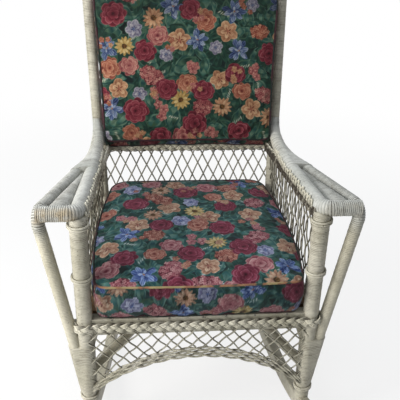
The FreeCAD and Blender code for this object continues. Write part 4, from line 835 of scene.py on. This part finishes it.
# Print of the cloth: ramps from dark to light
GROUND = tones("0b1a1a", "15302f", "23484a", "0f2629")
LEAVES = tones("173a35", "28574c", "14332e", "4a7060", "17464a", "6b8f80", "2c6464", "3c5f49")
PALE = tones("a9bcae", "cdd3ca", "93adac")
WINE = tones("3f1120", "6d1f34", "8b3347", "b4697a")
PINK = tones("6a2634", "9c5059", "bf7d7d", "e0b6ac")
PEACH = tones("6a4031", "a5735a", "c99b7c", "e4c6a6")
CORAL = tones("6a2c2a", "985044", "bb7a66", "dfb39b")
OCHRE = tones("7a5d2c", "ab8a4a", "caae72", "e4d4a4")
BLUE = tones("1f2b5a", "3c5490", "6d86b9", "afbedd")
LILAC = tones("454468", "6f6f93", "9a9dba", "c9cbdc")


class Print:
    """Paints a floral print of dabs on points given in millimetres of cloth."""

    def __init__(self, points, seed):
        self.points = np.asarray(points, float)
        self.colour = np.zeros((len(points), 3))
        self.random = np.random.default_rng(seed)
        self.wave = self.random.uniform(0, 6.28, (6, 2))[0]
        x, y = self.points.T
        shade = sum(np.sin((x * math.cos(a) + y * math.sin(a)) / s + p)
                    for a, s, p in ((0.4, 13.0, 0.3), (1.7, 9.0, 2.0), (2.6, 17.0, 4.0), (0.9, 5.3, 1.0)))
        share = np.clip(0.5 + shade / 5, 0, 0.999) * (len(GROUND) - 1)
        low = share.astype(int)
        part = (share - low)[:, None]
        part = part * part * (3 - 2 * part)
        self.colour[:] = GROUND[low] * (1 - part) + GROUND[low + 1] * part

    def near(self, x, y, radius):
        offset = self.points - (x, y)
        self.picked = np.flatnonzero((np.abs(offset) < radius).all(axis=1))
        self.local = offset[self.picked]
        wobble = np.stack([np.sin(self.points[self.picked, 1] / 2.9 + self.wave[0]),
                           np.sin(self.points[self.picked, 0] / 3.3 + self.wave[1])], axis=1)
        self.local = self.local + 0.55 * wobble
        self.patch = self.colour[self.picked]

    def done(self):
        self.colour[self.picked] = self.patch

    def dab(self, x, y, angle, long, wide, ramp, tone, edge=0.5, point=0.0, streak=0.0):
        """An oval touch: dark at its near end, lighter at its far end and rim."""
        c, s = math.cos(angle), math.sin(angle)
        dx = self.local[:, 0] - x
        dy = self.local[:, 1] - y
        a = (dx * c + dy * s) / long
        b = (dy * c - dx * s) / (wide * (1 - point * np.clip(np.abs(a), 0, 1) ** 2) + 1e-6)
        reach = a * a + b * b
        cover = np.clip((1 - reach) * min(long, wide) / 1.3, 0, 1)
        hit = cover > 0
        if not hit.any():
            return
        level = tone + 0.22 * a[hit] + edge * np.clip(reach[hit] - 0.55, 0, 1) * 1.4
        if streak:
            level = level + streak * np.sin(b[hit] * 9 + a[hit] * 2)
        place = np.clip(level, 0, 0.999) * (len(ramp) - 1)
        low = place.astype(int)
        part = (place - low)[:, None]
        colour = ramp[low] * (1 - part) + ramp[np.minimum(low + 1, len(ramp) - 1)] * part
        share = cover[hit][:, None]
        self.patch[hit] = self.patch[hit] * (1 - share) + colour * share

    def ring(self, count, at, long, wide, ramp, tone, spread=0.1, turn=0.0, edge=0.5, point=0.0, streak=0.0,
             squeeze=1.0):
        r = self.random
        for i in r.permutation(count):
            angle = turn + 2 * math.pi * (i + r.uniform(-spread, spread)) / count
            reach = at * r.uniform(0.93, 1.07)
            self.dab(reach * math.cos(angle), reach * math.sin(angle) * squeeze, angle,
                     long * r.uniform(0.88, 1.12), wide * r.uniform(0.88, 1.12), ramp,
                     tone + r.uniform(-0.16, 0.16), edge, point, streak)

    def rose(self, x, y, size, ramp):
        self.near(x, y, size * 1.2)
        squeeze = self.random.uniform(0.8, 1.0)
        turn = self.random.uniform(0, 6)
        for count, at, long, wide, tone in ((8, 0.70, 0.30, 0.34, 0.30), (7, 0.54, 0.28, 0.30, 0.5),
                                            (6, 0.38, 0.24, 0.25, 0.34), (5, 0.23, 0.18, 0.2, 0.55),
                                            (3, 0.09, 0.14, 0.15, 0.3)):
            self.ring(count, at * size, long * size, wide * size, ramp, tone, 0.2, turn, 0.75,
                      squeeze=squeeze)
            turn += 0.45
        self.dab(0, 0, 0.5, size * 0.09, size * 0.07, ramp, 0.0)
        self.done()

    def daisy(self, x, y, size, ramp, heart):
        self.near(x, y, size * 1.15)
        turn = self.random.uniform(0, 6)
        self.ring(13, size * 0.6, size * 0.36, size * 0.15, ramp, 0.42, 0.12, turn, 0.3, 0.4, 0.12)
        self.ring(10, size * 0.45, size * 0.28, size * 0.13, ramp, 0.7, 0.12, turn + 0.2, 0.2, 0.4, 0.12)
        self.dab(0, 0, 0, size * 0.26, size * 0.24, heart, 0.25, 0.3)
        for _ in range(9):
            a, b = self.random.normal(0, size * 0.1, 2)
            self.dab(a, b, 0, 1.3, 1.3, heart, 0.75)
        self.done()

    def open_bloom(self, x, y, size, ramp, heart, petals=5):
        self.near(x, y, size * 1.25)
        turn = self.random.uniform(0, 6)
        self.ring(petals, size * 0.52, size * 0.46, size * 0.42, ramp, 0.4, 0.08, turn, 0.55, 0.0, 0.1)
        self.ring(petals, size * 0.36, size * 0.3, size * 0.2, ramp, 0.68, 0.1, turn, 0.1, 0.0, 0.15)
        self.ring(petals, size * 0.2, size * 0.2, size * 0.06, heart, 0.1, 0.1, turn, 0.0)
        self.dab(0, 0, 0, size * 0.13, size * 0.12, heart, 0.5)
        self.done()

    def iris(self, x, y, size, ramp):
        self.near(x, y, size * 1.25)
        turn = self.random.uniform(0, 6)
        for count, at, long, wide, tone in ((4, 0.6, 0.4, 0.24, 0.25), (5, 0.5, 0.36, 0.2, 0.6),
                                            (5, 0.3, 0.3, 0.15, 0.3), (4, 0.2, 0.2, 0.1, 0.8)):
            self.ring(count, at * size, long * size, wide * size, ramp, tone, 0.25, turn, 0.5, 0.3, 0.2)
            turn += 0.7
        self.dab(0, 0, turn, size * 0.16, size * 0.05, OCHRE, 0.5)
        self.dab(size * 0.05, 0, turn + 1.3, size * 0.12, size * 0.04, WINE, 0.6)
        self.done()

    def cluster(self, x, y, size, ramp, florets):
        self.near(x, y, size * 1.3)
        self.dab(0, 0, 0, size * 0.8, size * 0.66, ramp, 0.02, 0.0)
        for i in range(florets):
            reach = size * 0.78 * math.sqrt((i + 0.5) / florets)
            angle = i * 2.4 + self.random.uniform(-0.2, 0.2)
            fx, fy = reach * math.cos(angle), reach * math.sin(angle) * 0.82
            turn = self.random.uniform(0, 6)
            tone = self.random.uniform(0.35, 0.85)
            for k in range(4):
                a = turn + k * math.pi / 2
                self.dab(fx + 2.7 * math.cos(a), fy + 2.7 * math.sin(a), a, 2.7, 2.3, ramp,
                         tone + self.random.uniform(-0.1, 0.1), 0.3)
            self.dab(fx, fy, 0, 1.1, 1.1, ramp, 0.05)
        self.done()

    def leaf(self, x, y, angle, long, wide, tone):
        self.near(x, y, long * 1.2)
        self.dab(0, 0, angle, long, wide, LEAVES, tone, 0.25, 0.75)
        c, s = math.cos(angle), math.sin(angle)
        for side in (-1, 1):
            self.dab(-s * side * wide * 0.35, c * side * wide * 0.35, angle + side * 0.12, long * 0.7,
                     wide * 0.35, LEAVES, tone + 0.16 * side, 0.1, 0.8)
        self.dab(0, 0, angle, long * 0.85, 0.8, LEAVES, min(0.95, tone + 0.4), 0.0)
        self.done()

    def sprig(self, x, y, angle, long):
        """A few pale curling lines."""
        self.near(x, y, long * 1.3)
        for k in range(5):
            at = (k - 2) / 2.5 * long * 0.7
            bend = angle + 0.9 + 0.3 * math.sin(k * 1.9)
            self.dab(at * math.cos(angle), at * math.sin(angle), bend, long * 0.3, 1.8, PALE,
                     self.random.uniform(0.2, 0.95), 0.2, 0.5)
        self.done()


HEART = tones("3a2418", "6d4a28", "a9803c")
KINDS = ("rose", "cluster", "daisy", "iris", "rose", "open", "coral", "small", "pinkrose", "lilac", "rose",
         "open")
RANKS = {"small": 0, "lilac": 0, "cluster": 1, "coral": 1, "open": 2, "iris": 2, "daisy": 3, "pinkrose": 3,
         "rose": 4}
ROSES = {"rose": (30, 38, WINE), "pinkrose": (27, 34, PINK), "coral": (26, 32, CORAL)}
BLOOMS = {"lilac": (20, 28, LILAC, BLUE, 6), "open": (28, 34, PEACH, CORAL, 5)}


def scatter(random, box, gap):
    """Places in a box, none nearer than a gap to another."""
    tries = int(5 * (box[2] - box[0]) * (box[3] - box[1]) / gap ** 2)
    placed = np.empty((0, 2))
    for p in random.uniform((box[0], box[1]), (box[2], box[3]), (tries, 2)):
        if not len(placed) or ((placed - p) ** 2).sum(axis=1).min() > gap * gap:
            placed = np.vstack([placed, p])
    return placed


def floral(points, box, seed):
    """The print's colours, from sRGB tones, at points in millimetres of cloth."""
    cloth = Print(points, seed)
    r = cloth.random
    for x, y in scatter(r, box, 21):
        cloth.leaf(x, y, r.uniform(0, 6.3), r.uniform(20, 36), r.uniform(10, 18), r.uniform(0.0, 0.7))
    for x, y in scatter(r, box, 48):
        tone = r.uniform(0.3, 0.85)
        cloth.leaf(x, y, r.uniform(0, 6.3), r.uniform(28, 44), r.uniform(16, 25), tone)
        if r.random() < 0.55:
            cloth.sprig(x + r.uniform(-9, 9), y + r.uniform(-9, 9), r.uniform(0, 6.3), r.uniform(16, 26))
    order = []
    for x, y in scatter(r, box, 47):
        near_kinds = [k for k, (qx, qy) in order if (qx - x) ** 2 + (qy - y) ** 2 < 95 ** 2]
        choice = [k for k in KINDS if k not in near_kinds] or KINDS
        kind = choice[r.integers(len(choice))]
        order.append((kind, (x, y)))
    for kind, (x, y) in sorted(order, key=lambda item: RANKS[item[0]]):
        if kind in ROSES:
            small, large, ramp = ROSES[kind]
            cloth.rose(x, y, r.uniform(small, large), ramp)
        elif kind in BLOOMS:
            small, large, ramp, heart, petals = BLOOMS[kind]
            cloth.open_bloom(x, y, r.uniform(small, large), ramp, heart, petals)
        elif kind == "cluster":
            ramp = PINK if r.random() < 0.6 else CORAL
            for _ in range(2):
                cloth.cluster(x + r.uniform(-16, 16), y + r.uniform(-12, 12), r.uniform(27, 36), ramp, 24)
        elif kind == "daisy":
            cloth.daisy(x, y, r.uniform(27, 33), PEACH if r.random() < 0.7 else OCHRE, HEART)
        elif kind == "iris":
            cloth.iris(x, y, r.uniform(30, 37), BLUE)
        else:
            for _ in range(3):
                cloth.open_bloom(x + r.uniform(-18, 18), y + r.uniform(-18, 18), r.uniform(12, 16),
                                 PINK, WINE)
    for x, y in scatter(r, box, 100):
        for _ in range(4):
            cloth.open_bloom(x + r.uniform(-17, 17), y + r.uniform(-17, 17), r.uniform(8, 11),
                             (PEACH, CORAL, PINK)[r.integers(3)], OCHRE)
    grey = cloth.colour.mean(axis=1, keepdims=True)
    return (0.3 + (grey + (cloth.colour - grey) * 0.86 - 0.3) * 1.18) * 0.75


# Cushions
def arc3(a, b, c, count=16):
    """Points on the arc through three points in a plane."""
    a, b, c = (np.asarray(p, float) for p in (a, b, c))
    d = 2 * (a[0] * (b[1] - c[1]) + b[0] * (c[1] - a[1]) + c[0] * (a[1] - b[1]))
    if abs(d) < 1e-3:
        return np.linspace(a, c, count)
    squares = [p @ p for p in (a, b, c)]
    centre = np.array([
        (squares[0] * (b[1] - c[1]) + squares[1] * (c[1] - a[1]) + squares[2] * (a[1] - b[1])) / d,
        (squares[0] * (c[0] - b[0]) + squares[1] * (a[0] - c[0]) + squares[2] * (b[0] - a[0])) / d])
    start, middle, end = (math.atan2(p[1] - centre[1], p[0] - centre[0]) for p in (a, b, c))
    turn = (end - start) % (2 * math.pi)
    if (middle - start) % (2 * math.pi) > turn:
        turn -= 2 * math.pi
    angles = start + np.linspace(0, turn, count)
    return centre + np.linalg.norm(a - centre) * np.stack([np.cos(angles), np.sin(angles)], axis=1)


CLOTH_FRAMES = 20
# Darkening of the cushions' boxing and undersides: painted shade.
PAINTED_SIDE_SHADE = 0.86
PER_SIDE = 44
AROUND = 4 * PER_SIDE


def soft_outline(corners, roundings, bows, inset=0.0, near=0.0, far=0.0):
    """Four runs of points from mid-corner to mid-corner; near and far tell how far those edges move out."""
    corners = np.asarray(corners, float)
    middle = corners.mean(axis=0)
    ways = np.sign(corners - middle)
    corners = corners - ways * inset
    corners[:, 1] += np.where(ways[:, 1] > 0, far, -near)
    roundings = [r + inset * 0.12 for r in roundings]
    ends = []
    for i, corner in enumerate(corners):
        before = unit(corners[i - 1] - corner)
        after = unit(corners[(i + 1) % 4] - corner)
        ends.append((corner + before * roundings[i], corner + after * roundings[i]))
    arcs = []
    for (enter, leave), corner in zip(ends, corners):
        arcs.append(arc3(enter, corner + (enter + leave - 2 * corner) * (1 - math.sqrt(0.5)), leave, 17))
    runs = []
    for i in range(4):
        leave = ends[i][1]
        following = ends[(i + 1) % 4][0]
        direction = unit(following - leave)
        outward = np.array([direction[1], -direction[0]])
        side = arc3(leave, (leave + following) / 2 + outward * bows[i], following, 30)
        line = np.concatenate([arcs[i][8:], side[1:-1], arcs[(i + 1) % 4][:9]])
        lengths = distances(line)
        places = np.linspace(0, lengths[-1], PER_SIDE + 1)[:-1]
        runs.append(np.stack([np.interp(places, lengths, line[:, k]) for k in range(2)], axis=1))
    return np.concatenate(runs)


GRID = np.arange((PER_SIDE + 1) ** 2).reshape(PER_SIDE + 1, PER_SIDE + 1)
BORDER = np.concatenate([GRID[0, :-1], GRID[:-1, -1], GRID[-1, :0:-1], GRID[:0:-1, 0]])


def panel(ring):
    """A square grid of points filling a ring, with how far out each lies."""
    step = 2 * np.arange(PER_SIDE + 1) / PER_SIDE - 1.0
    x, y = np.meshgrid(step, step, indexing="xy")
    reach = np.maximum(np.abs(x), np.abs(y))
    safe = np.where(reach == 0, 1, reach)
    px, py = x / safe, y / safe
    place = np.where(py <= -1 + 1e-9, (px + 1) / 2,
                     np.where(px >= 1 - 1e-9, 1 + (py + 1) / 2,
                              np.where(py >= 1 - 1e-9, 2 + (1 - px) / 2, 3 + (1 - py) / 2)))
    place = (place * PER_SIDE) % AROUND
    low = np.floor(place + 1e-9).astype(int)
    share = np.clip(place - low, 0, 1)[..., None]
    edge = ring[low % AROUND] * (1 - share) + ring[(low + 1) % AROUND] * share
    centre = ring.mean(axis=0)
    return centre + (edge - centre) * reach[..., None], reach


def quads(grid):
    return np.stack([grid[:-1, :-1], grid[:-1, 1:], grid[1:, 1:], grid[1:, :-1]], axis=-1).reshape(-1, 4)


def finer(grid, times, axis, closed=False):
    """A grid of points with more rows, through smooth curves."""
    grid = np.moveaxis(grid, axis, 0)
    count = len(grid)
    if closed:
        padded = np.concatenate([grid[-1:], grid, grid[:2]])
        runs = count
    else:
        padded = np.concatenate([2 * grid[:1] - grid[1:2], grid, 2 * grid[-1:] - grid[-2:-1]])
        runs = count - 1
    t = (np.arange(times) / times).reshape((1, times) + (1,) * (grid.ndim - 1))
    a, b, c, d = (padded[k:k + runs, None] for k in range(4))
    made = 0.5 * (2 * b + (c - a) * t + (2 * a - 5 * b + 4 * c - d) * t ** 2
                  + (3 * b - a - 3 * c + d) * t ** 3)
    made = made.reshape((runs * times,) + grid.shape[1:])
    if not closed:
        made = np.concatenate([made, grid[-1:]])
    return np.moveaxis(made, 0, axis)


def puffed(verts, faces, pinned, pressure, cap):
    """The closed form blown up as cloth, its seams held, no point moving further than a cap; millimetres."""
    mesh = bpy.data.meshes.new("pad_cloth")
    mesh.from_pydata((verts * MM).tolist(), [], faces.tolist())
    pad = bpy.data.objects.new("pad_cloth", mesh)
    scene = bpy.context.scene
    scene.collection.objects.link(pad)
    group = pad.vertex_groups.new(name="seams")
    group.add([int(i) for i in pinned], 1.0, "REPLACE")
    cloth = pad.modifiers.new("cloth", "CLOTH")
    settings = {
        "quality": 7, "mass": 0.25, "tension_stiffness": 12, "compression_stiffness": 12,
        "shear_stiffness": 6, "bending_stiffness": 0.6, "use_pressure": True,
        "uniform_pressure_force": pressure, "shrink_min": -0.02, "vertex_group_mass": "seams",
    }
    for key, value in settings.items():
        setattr(cloth.settings, key, value)
    cloth.settings.effector_weights.gravity = 0.0
    cloth.collision_settings.use_collision = False
    cloth.point_cache.frame_start = 1
    cloth.point_cache.frame_end = CLOTH_FRAMES
    for number in range(1, CLOTH_FRAMES + 1):
        scene.frame_set(number)
    depsgraph = bpy.context.evaluated_depsgraph_get()
    moved = np.empty(len(verts) * 3, np.float32)
    pad.evaluated_get(depsgraph).data.vertices.foreach_get("co", moved)
    moved = moved.reshape(-1, 3).astype(float) / MM
    scene.frame_set(1)
    bpy.data.objects.remove(pad)
    bpy.data.meshes.remove(mesh)
    step = moved - verts
    length = np.linalg.norm(step, axis=1, keepdims=True)
    return verts + step * np.minimum(1.0, cap / np.maximum(length, 1e-6))


def box_pad(rings, top_height, under_level, pressure, cap, in_place):
    """A box cushion: its points as three grids (under, boxing, top), before and after it is filled."""
    under, under_reach = panel(rings[0][:, :2])
    top, top_reach = panel(rings[-1][:, :2])
    under = np.concatenate([under, np.full(under_reach.shape, under_level)[..., None]], axis=-1)
    top = np.concatenate([top, top_height(top, top_reach)[..., None]], axis=-1)
    boxing = np.stack(rings)
    flat = [under, boxing, top]
    count = GRID.size
    inner = len(rings) - 2
    verts = np.concatenate([under.reshape(-1, 3), boxing[1:-1].reshape(-1, 3), top.reshape(-1, 3)])
    rows = [count + k * AROUND + np.arange(AROUND) for k in range(inner)]
    upper = GRID + count + inner * AROUND
    ids = np.stack([BORDER, *rows, BORDER + count + inner * AROUND])
    wrapped = np.concatenate([ids, ids[:, :1]], axis=1)
    faces = np.concatenate([quads(GRID)[:, ::-1], quads(wrapped), quads(upper)])
    verts = in_place(verts)
    verts = puffed(verts, faces, np.concatenate([ids[0], ids[-1]]), pressure, cap)
    return flat, [verts[GRID], verts[ids], verts[upper]]


def fine_panel(points, times):
    return finer(finer(points, times, 0), times, 1)


def sheet(points, cloth, closed=False):
    """A grid of points, its places on the cloth, and its faces."""
    grid = np.arange(points[..., 0].size).reshape(points.shape[:2])
    if closed:
        grid = np.concatenate([grid, grid[:, :1]], axis=1)
    return points, cloth, quads(grid)


def printed_pad(name, flat, moved, seed, material, body):
    """The filled cushion as one fine mesh, each point coloured by the print."""
    detail = 8
    round_rows = 5
    side = finer(finer(moved[1], round_rows, 0), detail, 1, closed=True)
    girth = distances(np.concatenate([flat[1][-1], flat[1][-1][:1]])[:, :2])
    heights = finer(flat[1][:, 0, 2], round_rows, 0)
    lengths = np.interp(np.arange(side.shape[1]) / detail, np.arange(AROUND + 1), girth)
    side_cloth = np.stack(np.meshgrid(lengths, heights, indexing="xy"), axis=-1) + [0.0, 700.0]
    under_cloth = fine_panel(flat[0][..., :2], 2) + [0.0, 2200.0]
    plain, plain_cloth, plain_faces = sheet(fine_panel(moved[0], 2), under_cloth)
    parts = (sheet(fine_panel(moved[2], detail), fine_panel(flat[2][..., :2], detail)),
             sheet(side, side_cloth, closed=True), (plain, plain_cloth, plain_faces[:, ::-1]))
    verts = np.concatenate([points.reshape(-1, 3) for points, spots, cells in parts])
    places = np.concatenate([spots.reshape(-1, 2) for points, spots, cells in parts])
    starts = np.cumsum([0] + [points[..., 0].size for points, spots, cells in parts])
    faces = np.concatenate([cells + first for (points, spots, cells), first in zip(parts, starts)])
    colour = np.ones((len(verts), 4))
    for low, high in ((-600.0, 1000.0), (1000.0, 3000.0)):
        here = (places[:, 1] >= low) & (places[:, 1] < high)
        box = (*(places[here].min(axis=0) - 40), *(places[here].max(axis=0) + 40))
        colour[here, :3] = floral(places[here], box, seed)
        seed += 1
    # The boxing and the underside of each cushion are darkened: painted shade on the faces turned from the
    # light.
    colour[places[:, 1] > 600, :3] *= PAINTED_SIDE_SHADE
    made = new_mesh(name, verts, faces, material, body)
    attribute = made.data.attributes.new("print", "FLOAT_COLOR", "POINT")
    attribute.data.foreach_set("color", linear(colour).astype(np.float32).ravel())
    layer = made.data.uv_layers.new(name="cloth")
    layer.data.foreach_set("uv", (places[faces.ravel()] * MM).astype(np.float32).ravel())
    return made


def fabric(name, colour_of, rough=0.92, tint=(1.0, 1.0, 1.0)):
    """Cotton with a fine plain weave."""
    material, tree, shader = nodes_of(name)
    where = object_place(tree)
    fade = band(tree, noise(tree, where, 38.0, 3.0, 0.6), 0.3, 0.7, 0.86, 1.08)
    fleck = band(tree, noise(tree, where, 900.0, 1.0, 0.5), 0.3, 0.7, 0.9, 1.1)
    shade = calc(tree, "MULTIPLY", fade, fleck)
    red, green, blue = (calc(tree, "MULTIPLY", shade, share) for share in tint)
    grey = add(tree, "ShaderNodeCombineColor", Red=red, Green=green, Blue=blue).outputs[0]
    colour = mix(tree, 1.0, colour_of(tree), grey, "MULTIPLY")
    finish_shader(tree, shader, colour, rough, 0.25, noise(tree, where, 700.0, 2.0, 0.6), 0.35, 0.0005)
    shader.inputs["Sheen Weight"].default_value = 0.06
    return material


def from_attribute(tree):
    return add(tree, "ShaderNodeAttribute", {"attribute_name": "print"}).outputs["Color"]


def welt_colour(tree):
    tone = noise(tree, object_place(tree), 26.0, 1.0, 0.4)
    # Where the crevice share is low, along the sides, back and bottom, the piping is near black: dark cloth,
    # darkened as painted shade.
    dark = mix(tree, band(tree, tone, 0.46, 0.54), rgb("131d1a"), rgb("33191f"))
    bright = mix(tree, band(tree, tone, 0.40, 0.46), rgb("26403a"), rgb("8c644b"))
    bright = mix(tree, band(tree, tone, 0.52, 0.58), bright, rgb("94855f"))
    share = add(tree, "ShaderNodeAttribute", {"attribute_name": "crevice"}).outputs["Fac"]
    return mix(tree, share, dark, bright)


seat_print = fabric("seat_print", from_attribute, tint=(0.9, 0.96, 1.04))
back_print = fabric("back_print", from_attribute, tint=(0.98, 0.9, 0.76))
welt_cloth = fabric("welt_cloth", welt_colour, 0.8)


def welt(name, loop, radius, body, bright=None):
    """Piping round a closed seam; bright tells how much of its cloth shows the print's light colours, and the
    rest is near-black dark cloth kept that dark as painted shade.
    """
    sides = 12
    line = resample(np.concatenate([loop, loop[:1]]), 4.0)[0][:-1]
    for _ in range(3):
        line = (np.roll(line, 1, axis=0) + 2 * line + np.roll(line, -1, axis=0)) / 4
    count = len(line)
    tangents = unit(np.roll(line, -1, axis=0) - np.roll(line, 1, axis=0))
    across = unit(np.cross(tangents, unit(line - line.mean(axis=0))))
    outward = np.cross(across, tangents)
    angle = round_angles(sides)[None, :, None]
    swell = radius * (1 + 0.04 * np.sin(np.arange(count) * 1.7) + 0.03 * np.sin(np.arange(count) * 0.43))
    ring = outward[:, None, :] * np.cos(angle) + across[:, None, :] * np.sin(angle)
    verts = (line[:, None, :] + ring * swell[:, None, None]).reshape(-1, 3)
    faces = grid_faces(count + 1, sides) % (count * sides)
    share = np.zeros(count) if bright is None else bright(line)
    made = new_mesh(name, verts, faces, welt_cloth, body, crevice=np.repeat(share, sides))


def at_level(ring, height):
    return np.concatenate([ring, np.full((len(ring), 1), float(height))], axis=1)


# Seat cushion: crowned, its front face leaning out and its rear face against the back
FRONT_LEAN = 0.16
seat_corners = [(-241, -298), (241, -298), (224.5, 162), (-224.5, 162)]


def seat_ring(rise, inset):
    return at_level(soft_outline(seat_corners, [26, 26, 48, 48], [6, 17, 0, 17], inset,
                                 FRONT_LEAN * rise, math.tan(RAKE) * rise), SEAT_FOOT + rise)


def rear_lift(flat):
    """The filling is pushed up a little towards the back."""
    return 9.0 * np.clip((flat[..., 1] + 60) / 260, 0, 1) ** 1.5


def crown(reach, height):
    return height * np.clip(1 - reach ** 2.4, 0, 1) ** 0.8


def seat_top(flat, reach):
    return SEAT_FOOT + 100 + crown(reach, 15) + rear_lift(flat)


seat_rings = [seat_ring(rise, inset) for rise, inset in (
    (0.0, 9.0), (5.0, 3.5), (13.0, 0.0), (30.0, -1.5), (50.0, -2.5), (70.0, -2.0), (87.0, 0.0), (100.0, 1.5))]
for ring, share in zip(seat_rings, (0, 0, 0, 0.2, 0.5, 0.8, 1, 1)):
    ring[:, 2] += rear_lift(ring) * share
seat_flat, seat_moved = box_pad(seat_rings, seat_top, SEAT_FOOT, 3.0, 9.0, lambda verts: verts)
seat_moved[0][..., 2] = np.maximum(seat_moved[0][..., 2], SEAT_FOOT)
seat_pad = printed_pad("seat_cushion_pad", seat_flat, seat_moved, 5, seat_print, "seat_cushion")
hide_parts("seat_cushion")


def front_bright(line):
    return np.clip((-line[:, 1] - 262) / 20, 0, 1) * np.clip((232 - np.abs(line[:, 0])) / 12, 0, 1)


welt("seat_welt_top", seat_moved[1][-1], 2.5, "seat_cushion", front_bright)
welt("seat_welt_bottom", seat_moved[1][1], 2.5, "seat_cushion")

# Back cushion: thinner, its foot lapping over the band
def back_half(along):
    return post_x(along) - POST_RADIUS - 3.2


def on_back_plane(points):
    return on_back(points[..., 0], points[..., 1], -points[..., 2])


back_corners = [(way * back_half(along), along)
                for way, along in ((-1, 253), (1, 253), (1, 726.3), (-1, 726.3))]


def back_ring(level, inset, foot):
    return at_level(soft_outline(back_corners, [14, 14, 92, 92], [-3, -3, 33, -3], inset, foot, 0.0), level)


def back_top(flat, reach):
    return 46 + crown(reach, 11)


back_rings = [back_ring(level, inset, foot) for level, inset, foot in (
    (0.4, 8.0, 7.0), (6.0, 2.0, 2.0), (15.0, 0.0, 0.0), (24.5, -0.5, 8.5), (32.0, 0.0, 6.0), (40.0, 0.5, 1.0),
    (46.0, 1.5, -2.5))]
back_flat, back_moved = box_pad(back_rings, back_top, 0.4, 2.6, 8.0, on_back_plane)
back_pad = printed_pad("back_cushion_pad", back_flat, back_moved, 11, back_print, "chair")
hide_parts("back_cushion")
welt("back_welt_front", back_moved[1][-1], 2.7, "chair")
welt("back_welt_rear", back_moved[1][3], 2.5, "chair")

# Floor, camera and light
def seen_plain(tree):
    """1 for the rays that see the white backdrop as it is, 0 for those that light the chair."""
    rays = add(tree, "ShaderNodeLightPath").outputs
    seen = calc(tree, "MAXIMUM", rays["Is Camera Ray"], rays["Is Glossy Ray"])
    return calc(tree, "MAXIMUM", seen, rays["Is Transmission Ray"])


scene = bpy.context.scene
floor_mesh = bpy.data.meshes.new("floor")
floor_mesh.from_pydata([(-6, -6, 0), (6, -6, 0), (6, 6, 0), (-6, 6, 0)], [], [(0, 1, 2, 3)])
floor = bpy.data.objects.new("floor", floor_mesh)
scene.collection.objects.link(floor)
material, tree, shader = nodes_of("floor_paper")
shader.inputs["Base Color"].default_value = (0.9, 0.9, 0.9, 1)
shader.inputs["Roughness"].default_value = 0.95
paper = add(tree, "ShaderNodeEmission", Color=(1.0, 1.0, 1.0, 1.0), Strength=1.0)
away = add(tree, "ShaderNodeVectorMath", {"operation": "LENGTH"}, i0=object_place(tree)).outputs["Value"]
share = calc(tree, "MULTIPLY", seen_plain(tree), band(tree, away, 0.5, 2.6, 0.8, 1.0))
both_looks = add(tree, "ShaderNodeMixShader", i0=share, i1=shader.outputs[0], i2=paper.outputs[0])
output = next(n for n in tree.nodes if n.type == "OUTPUT_MATERIAL")
tree.links.new(both_looks.outputs[0], output.inputs["Surface"])
floor_mesh.materials.append(material)
floor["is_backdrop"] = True

YAW = math.radians(5.0)
PITCH = math.radians(28.2)
ROLL = math.radians(-1.3)
forward = np.array([math.sin(YAW) * math.cos(PITCH), math.cos(YAW) * math.cos(PITCH), -math.sin(PITCH)])
level = np.array([math.cos(YAW), -math.sin(YAW), 0.0])
down = np.cross(forward, level)
axes = (math.cos(ROLL) * level + math.sin(ROLL) * down,
        math.sin(ROLL) * level - math.cos(ROLL) * down, -forward)
camera_data = bpy.data.cameras.new("camera")
camera_data.sensor_width = 36.0
camera_data.lens = 54.47
camera = bpy.data.objects.new("camera", camera_data)
scene.collection.objects.link(camera)
turned = Matrix(np.stack(axes, axis=1).tolist()).to_4x4()
camera.matrix_world = Matrix.Translation(Vector((-0.103, -1.4144, 1.272))) @ turned
scene.camera = camera


def lamp(name, place, target, power, size, colour):
    data = bpy.data.lights.new(name, "AREA")
    data.energy = power
    data.size = size
    data.color = colour
    light = bpy.data.objects.new(name, data)
    scene.collection.objects.link(light)
    light.location = place
    light.rotation_euler = (Vector(target) - Vector(place)).to_track_quat("-Z", "Y").to_euler()


lamp("key", (-1.75, -0.8, 1.4), (0, -0.1, 0.5), 38.0, 0.8, (1.0, 0.975, 0.93))
lamp("sky", (-0.3, 0.6, 2.9), (0, 0, 0.6), 44.0, 2.2, (0.92, 0.96, 1.0))
lamp("fill", (-1.3, -1.5, 0.55), (-0.1, -0.2, 0.25), 9.0, 0.9, (1.0, 0.99, 0.96))

world = bpy.data.worlds.new("studio")
scene.world = world
world.use_nodes = True
tree = world.node_tree
tree.nodes.clear()
output = tree.nodes.new("ShaderNodeOutputWorld")
soft = add(tree, "ShaderNodeBackground", Color=(0.9, 0.93, 0.97, 1.0), Strength=0.22)
white = add(tree, "ShaderNodeBackground", Color=(1.0, 1.0, 1.0, 1.0), Strength=1.0)
blend = add(tree, "ShaderNodeMixShader", i0=seen_plain(tree), i1=soft.outputs[0], i2=white.outputs[0])
tree.links.new(blend.outputs[0], output.inputs["Surface"])

scene.view_settings.view_transform = "Standard"
scene.view_settings.look = "None"

low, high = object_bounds()
